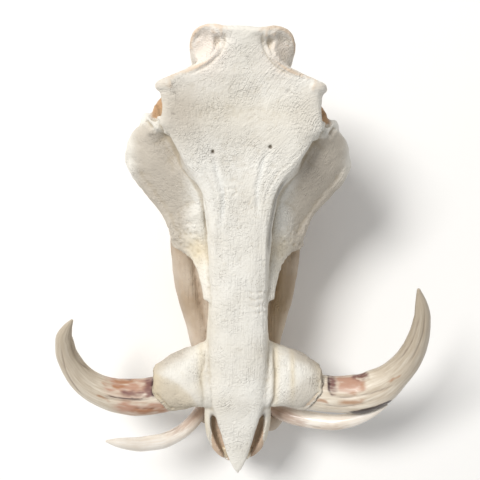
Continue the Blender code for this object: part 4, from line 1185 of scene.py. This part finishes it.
def bone_material(name, pale, dark, layers, roughness, streak_height, pit_height):
    """Broad tone, mottling and masks give the colour; worm noise, pores and streaks the height."""
    made, tree, shader = new_material(name, roughness, 1.5)
    place = add_node(tree, "TexCoord", out="Object")
    part = {"cells": add_node(tree, "TexVoronoi", {"Vector": place, "Scale": 1 / PORE_GAP})}
    for pattern, (size, detail, rough, distortion) in NOISES.items():
        inputs = {"Scale": 1 / size, "Detail": detail, "Roughness": rough, "Distortion": distortion}
        part[pattern] = add_node(tree, "TexNoise", {"Vector": place, **inputs})
    for pattern, source, *ends in (
        ("speck", "mottle", 0.56, 0.8, 0, 0.35), ("pore", "cells", 0.28, 0.12, 0, 1),
        ("patch", "patches", 0.45, 0.7, 0, 1), ("even", "calm", 0.35, 0.65, 0.35, 1),
        ("gloss", "mottle", 0, 1, roughness - 0.08, roughness + 0.08),
    ):
        part[pattern] = add_node(tree, "MapRange", dict(enumerate([part[source], *ends])))
    porous = add_node(tree, "Attribute", out="Fac", attribute_name="porous")
    patch = add_node(tree, "Math", {0: part["patch"], 1: porous}, operation="MAXIMUM")
    pore = add_node(tree, "Math", {0: part["pore"], 1: patch}, operation="MULTIPLY")
    colour = ramp_between(tree, part["broad"], 0.35, 0.65, dark, pale)
    colour = painted(tree, colour, [(part["speck"], 1, "#c9bda6"), (pore, 0.45, "#9b8768")] + layers)

    flow = add_node(tree, "Attribute", out="Vector", attribute_name="flow")
    flow = add_node(tree, "Mapping", {"Vector": flow, "Scale": (0.8, 0.07, 0.3)})
    streak = add_node(tree, "TexNoise", {"Vector": flow, "Scale": 1, "Detail": 3, "Roughness": 0.6})
    height = add_node(tree, "Math", {0: part["worms"], 1: pit_height}, operation="MULTIPLY")
    for source, rise in ((streak, streak_height), (pore, -0.5)):
        height = add_node(tree, "Math", {0: source, 1: rise, 2: height}, operation="MULTIPLY_ADD")
    bump = add_node(tree, "Bump", {"Height": height, "Strength": part["even"], "Distance": 0.0014})
    for source, socket in ((colour, "Base Color"), (bump, "Normal"), (part["gloss"], "Roughness")):
        tree.links.new(source, shader.inputs[socket])
    return made


# On the bone the greyed sides, the dark holes, grooves and gaps and the darkened hollows are painted shade,
# partly with the bone's own grey tone and dirt, and the temple cups take painted light; the other layers are
# the bone's own colours. The jaw's hollows take painted shade and dirt too.
SKULL_LAYERS = [
    ("grey_tone_and_shade", 1, "#c8bfb1"), ("yellow", 0.6, "#d8c08a"), ("pale", 0.55, "#eeeeea"), ("cup_tint_and_light", 0.75, "#f0e2d6"),
    ("tan", 0.9, "#bd9163"), ("ochre", 0.45, "#cfa572"), ("dirt_and_shade", 0.5, "#a59475"), ("dark", 1, "#2e1a10"),
]
JAW_LAYERS = [("yellow", 0.4, "#cdb488"), ("dirt_and_shade", 0.6, "#8f7860")]
skull_bone = bone_material("sun_bleached_bone", "#edeae2", "#e0dbd0", SKULL_LAYERS, 0.78, 0.85, 1)
# The jaw bone's darker colours are partly greasier bone and partly painted shade, for it lies under the cheek
# plates.
jaw_bone = bone_material("greasy_shaded_jaw_bone", "#cdbfae", "#ab9780", JAW_LAYERS, 0.62, 0.6, 0.4)
print("bone nodes:", len(skull_bone.node_tree.nodes))

# %% [markdown]
# ## Dentine and enamel
#
# A warthog's upper tusk is bare dentine, ivory, laid down in layers: it has long fine streaks, satin gloss, a
# grey tip, deepened with painted shade, and stains near the gum. The lower tusks are rubbed smooth against
# the upper ones and shine more. The cheek teeth are enamel, harder and glassier, with brown cement between
# the columns, and their hollows take painted shade and dirt.

# %% Tusk materials
def dentine_material(name, pale, dark, layers, roughness, streak_height):
    """Streak noise, stretched along the tusk by the flow attribute, for the colour and the height."""
    made, tree, shader = new_material(name, roughness, 1.54)
    flow = add_node(tree, "Attribute", out="Vector", attribute_name="flow")
    streak = add_node(tree, "TexNoise", {"Vector": flow, "Scale": 0.75, "Detail": 4, "Roughness": 0.65})
    place = add_node(tree, "TexCoord", out="Object")
    cloud = add_node(tree, "TexNoise", {"Vector": place, "Scale": 1 / 0.018, "Detail": 3})
    cloud = add_node(tree, "MapRange", {"Value": cloud, "From Min": 0.45, "From Max": 0.75, "To Max": 0.4})
    colour = ramp_between(tree, streak, 0.34, 0.66, dark, pale)
    colour = painted(tree, colour, [(cloud, 1, "#c9b7a2")] + layers)
    height = add_node(tree, "Math", {0: streak, 1: streak_height}, operation="MULTIPLY")
    bump = add_node(tree, "Bump", {"Height": height, "Strength": 0.5, "Distance": 0.0005})
    tree.links.new(colour, shader.inputs["Base Color"])
    tree.links.new(bump, shader.inputs["Normal"])
    return made


# In the tusks the grey tip and the dark underside are partly painted shade, and the furrows and hollows take
# painted shade and dirt, as the teeth's hollows do; the other layers are stains.
UPPER_LAYERS = [
    ("grey_tip_and_shade", 0.7, "#a39580"), ("rose", 0.85, "#b4836c"), ("rust", 0.75, "#a5714a"), ("plum", 0.95, "#77504b"),
    ("wine", 1, "#432626"), ("dirt_and_shade", 0.85, "#5d4335"), ("dark", 0.95, "#2e1a14"),
]
LOWER_LAYERS = [
    ("rose", 0.7, "#bfa994"), ("root", 0.75, "#ab8d78"), ("plum", 0.6, "#a5836e"), ("dirt_and_shade", 0.7, "#6e5746"),
]
ENAMEL_LAYERS = [("dirt_and_shade", 0.9, "#6a4f35")]
tusk_dentine = dentine_material("tusk_dentine", "#efe6d6", "#c9baa5", UPPER_LAYERS, 0.38, 0.8)
polished_dentine = dentine_material("polished_dentine", "#f8f3eb", "#efe5d8", LOWER_LAYERS, 0.24, 0.25)
enamel = dentine_material("tooth_enamel_and_cement", "#e6dac3", "#cdb995", ENAMEL_LAYERS, 0.3, 0.5)
print("dentine nodes:", len(tusk_dentine.node_tree.nodes))

# %% [markdown]
# ## Floor paper
#
# The floor is matt pale card with a faint tooth, so that it takes a soft shadow and no shine.

# %% Floor material
floor_paper, tree, shader = new_material("pale_floor_card", 0.9, 1.45)
place = add_node(tree, "TexCoord", out="Object")
tooth = add_node(tree, "TexNoise", {"Vector": place, "Scale": 1 / 0.3, "Detail": 2})
tree.links.new(ramp_between(tree, tooth, 0.3, 0.7, "#f8f7f5", "#fbfaf8"), shader.inputs["Base Color"])
print("floor nodes:", len(tree.nodes))

# %% [markdown]
# ## Putting every piece in its place
#
# Each fine piece takes the place of the plain CAD node of the same name, rides on the one body that the
# skull has, and says which finish it takes. The CAD solids stay in the physics model and are only hidden.

# %% Pieces
TUSK_MAKING = {"upper": (0.16, 240, 96, tusk_dentine), "lower": (0.05, 200, 72, polished_dentine)}


def put(name, mesh, node, material):
    """An object at the origin, unturned, that replaces the CAD node."""
    piece = make_object(name, mesh)
    mesh.materials.append(material)
    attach(piece, "root")
    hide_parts(node)
    mesh.calc_loop_triangles()
    print(f"{name:28s}", len(mesh.loop_triangles), "triangles")


def put_tooth(name, rings, node, along):
    """A tooth whose flow counts its long axis 0.15 times."""
    mesh = make_mesh(name, [rings])
    # Painted shade and dirt in the tooth's hollows, among them the brown cement between the columns.
    store(mesh, "dirt_and_shade", dirt_and_shade(mesh))
    store(mesh, "flow", drawn(read_skin(mesh)[0]) * along)
    put(name, mesh, node, enamel)


put("cranium_bone", skull_mesh, "cranium", skull_bone)
put("lower_jaw_bone", jaw_mesh, "lower_jaw", jaw_bone)
for side, sign in SIDES.items():
    for jaw, (flute, steps, around, dentine) in TUSK_MAKING.items():
        mesh = tusk(f"tusk_{jaw}_{side}", TUSKS[f"{jaw}_{side}"], flute, steps, around)
        stain(mesh, MARKS[f"{jaw}_{side}"])
        # The left upper tusk's underside takes painted shade over its dark stained wear facet.
        if (jaw, side) == ("upper", "left"):
            store(mesh, "dark", shaded_worn_underside(mesh))
        put(f"tusk_{jaw}_{side}", mesh, f"{jaw}_tusk_{side}", dentine)
    for (jaw, kind), stations in CHEEK_TEETH.items():
        rings = cheek_tooth(stations, sign * TOOTH_ROW_X[jaw])
        put_tooth(f"{kind}_{jaw}_{side}", rings, f"{jaw}_{kind}_{side}", (1, 1, 0.15))
    for name, stations in FRONT_TEETH.items():
        node = f"{name}_{side}"
        put_tooth(node + "_tooth", peg_tooth(stations, sign), node, (1, 0.15, 1))

# %% [markdown]
# ## Floor, light and camera
#
# The skull lies on a plain pale floor. A wide soft lamp stands to the upper left of the picture, and a
# weaker one at the lower right fills the shade. The camera looks almost straight down, tilted by two
# degrees.

# %% Floor
FLOOR_CORNERS = [(-3, -3, 0), (3, -3, 0), (3, 3, 0), (-3, 3, 0)]
mesh = bpy.data.meshes.new("floor")
mesh.from_pydata(FLOOR_CORNERS, [], [(0, 1, 2, 3)])
mesh.materials.append(floor_paper)
floor = make_object("floor", mesh)


# %% Light
def soft_lamp(name, place, size, power, colour):
    """A square lamp that faces a point 0.1 m above the middle of the floor."""
    light = bpy.data.lights.new(name, "AREA")
    light.size = size
    light.energy = power
    light.color = colour
    lamp = make_object(name, light)
    lamp.location = place
    x, y, z = np.array((0, 0, 0.1)) - place
    lamp.rotation_euler = (math.pi / 2 + math.atan2(z, math.hypot(x, y)), 0, math.atan2(y, x) - math.pi / 2)


soft_lamp("key_lamp", (-1.05, 0.8, 2.2), 0.7, 52, (1, 0.99, 0.97))
soft_lamp("fill_lamp", (1.2, -0.9, 1.8), 1.4, 1.2, (0.96, 0.98, 1))

sky = bpy.data.worlds.new("studio")
sky.use_nodes = True
light_of_sky = sky.node_tree.nodes["Background"].inputs
light_of_sky["Color"].default_value = (1, 1, 1, 1)
light_of_sky["Strength"].default_value = 0.45
bpy.context.scene.world = sky
bpy.context.scene.view_settings.view_transform = "Standard"

# %% Camera
TILT = math.radians(2.2)
REACH = 630 * UNIT
CENTRE = ((0.4 - MIDDLE[0]) * UNIT, -MIDDLE[1] * UNIT, 130 * UNIT)

lens = bpy.data.cameras.new("photo_camera")
lens.sensor_width = 36
lens.lens = 62
camera = make_object("photo_camera", lens)
camera.location = (CENTRE[0] - math.sin(TILT) * REACH, CENTRE[1], CENTRE[2] + math.cos(TILT) * REACH)
camera.rotation_euler = (0, -TILT, 0)
bpy.context.scene.camera = camera
print("camera height:", round(camera.location.z, 3), "m")
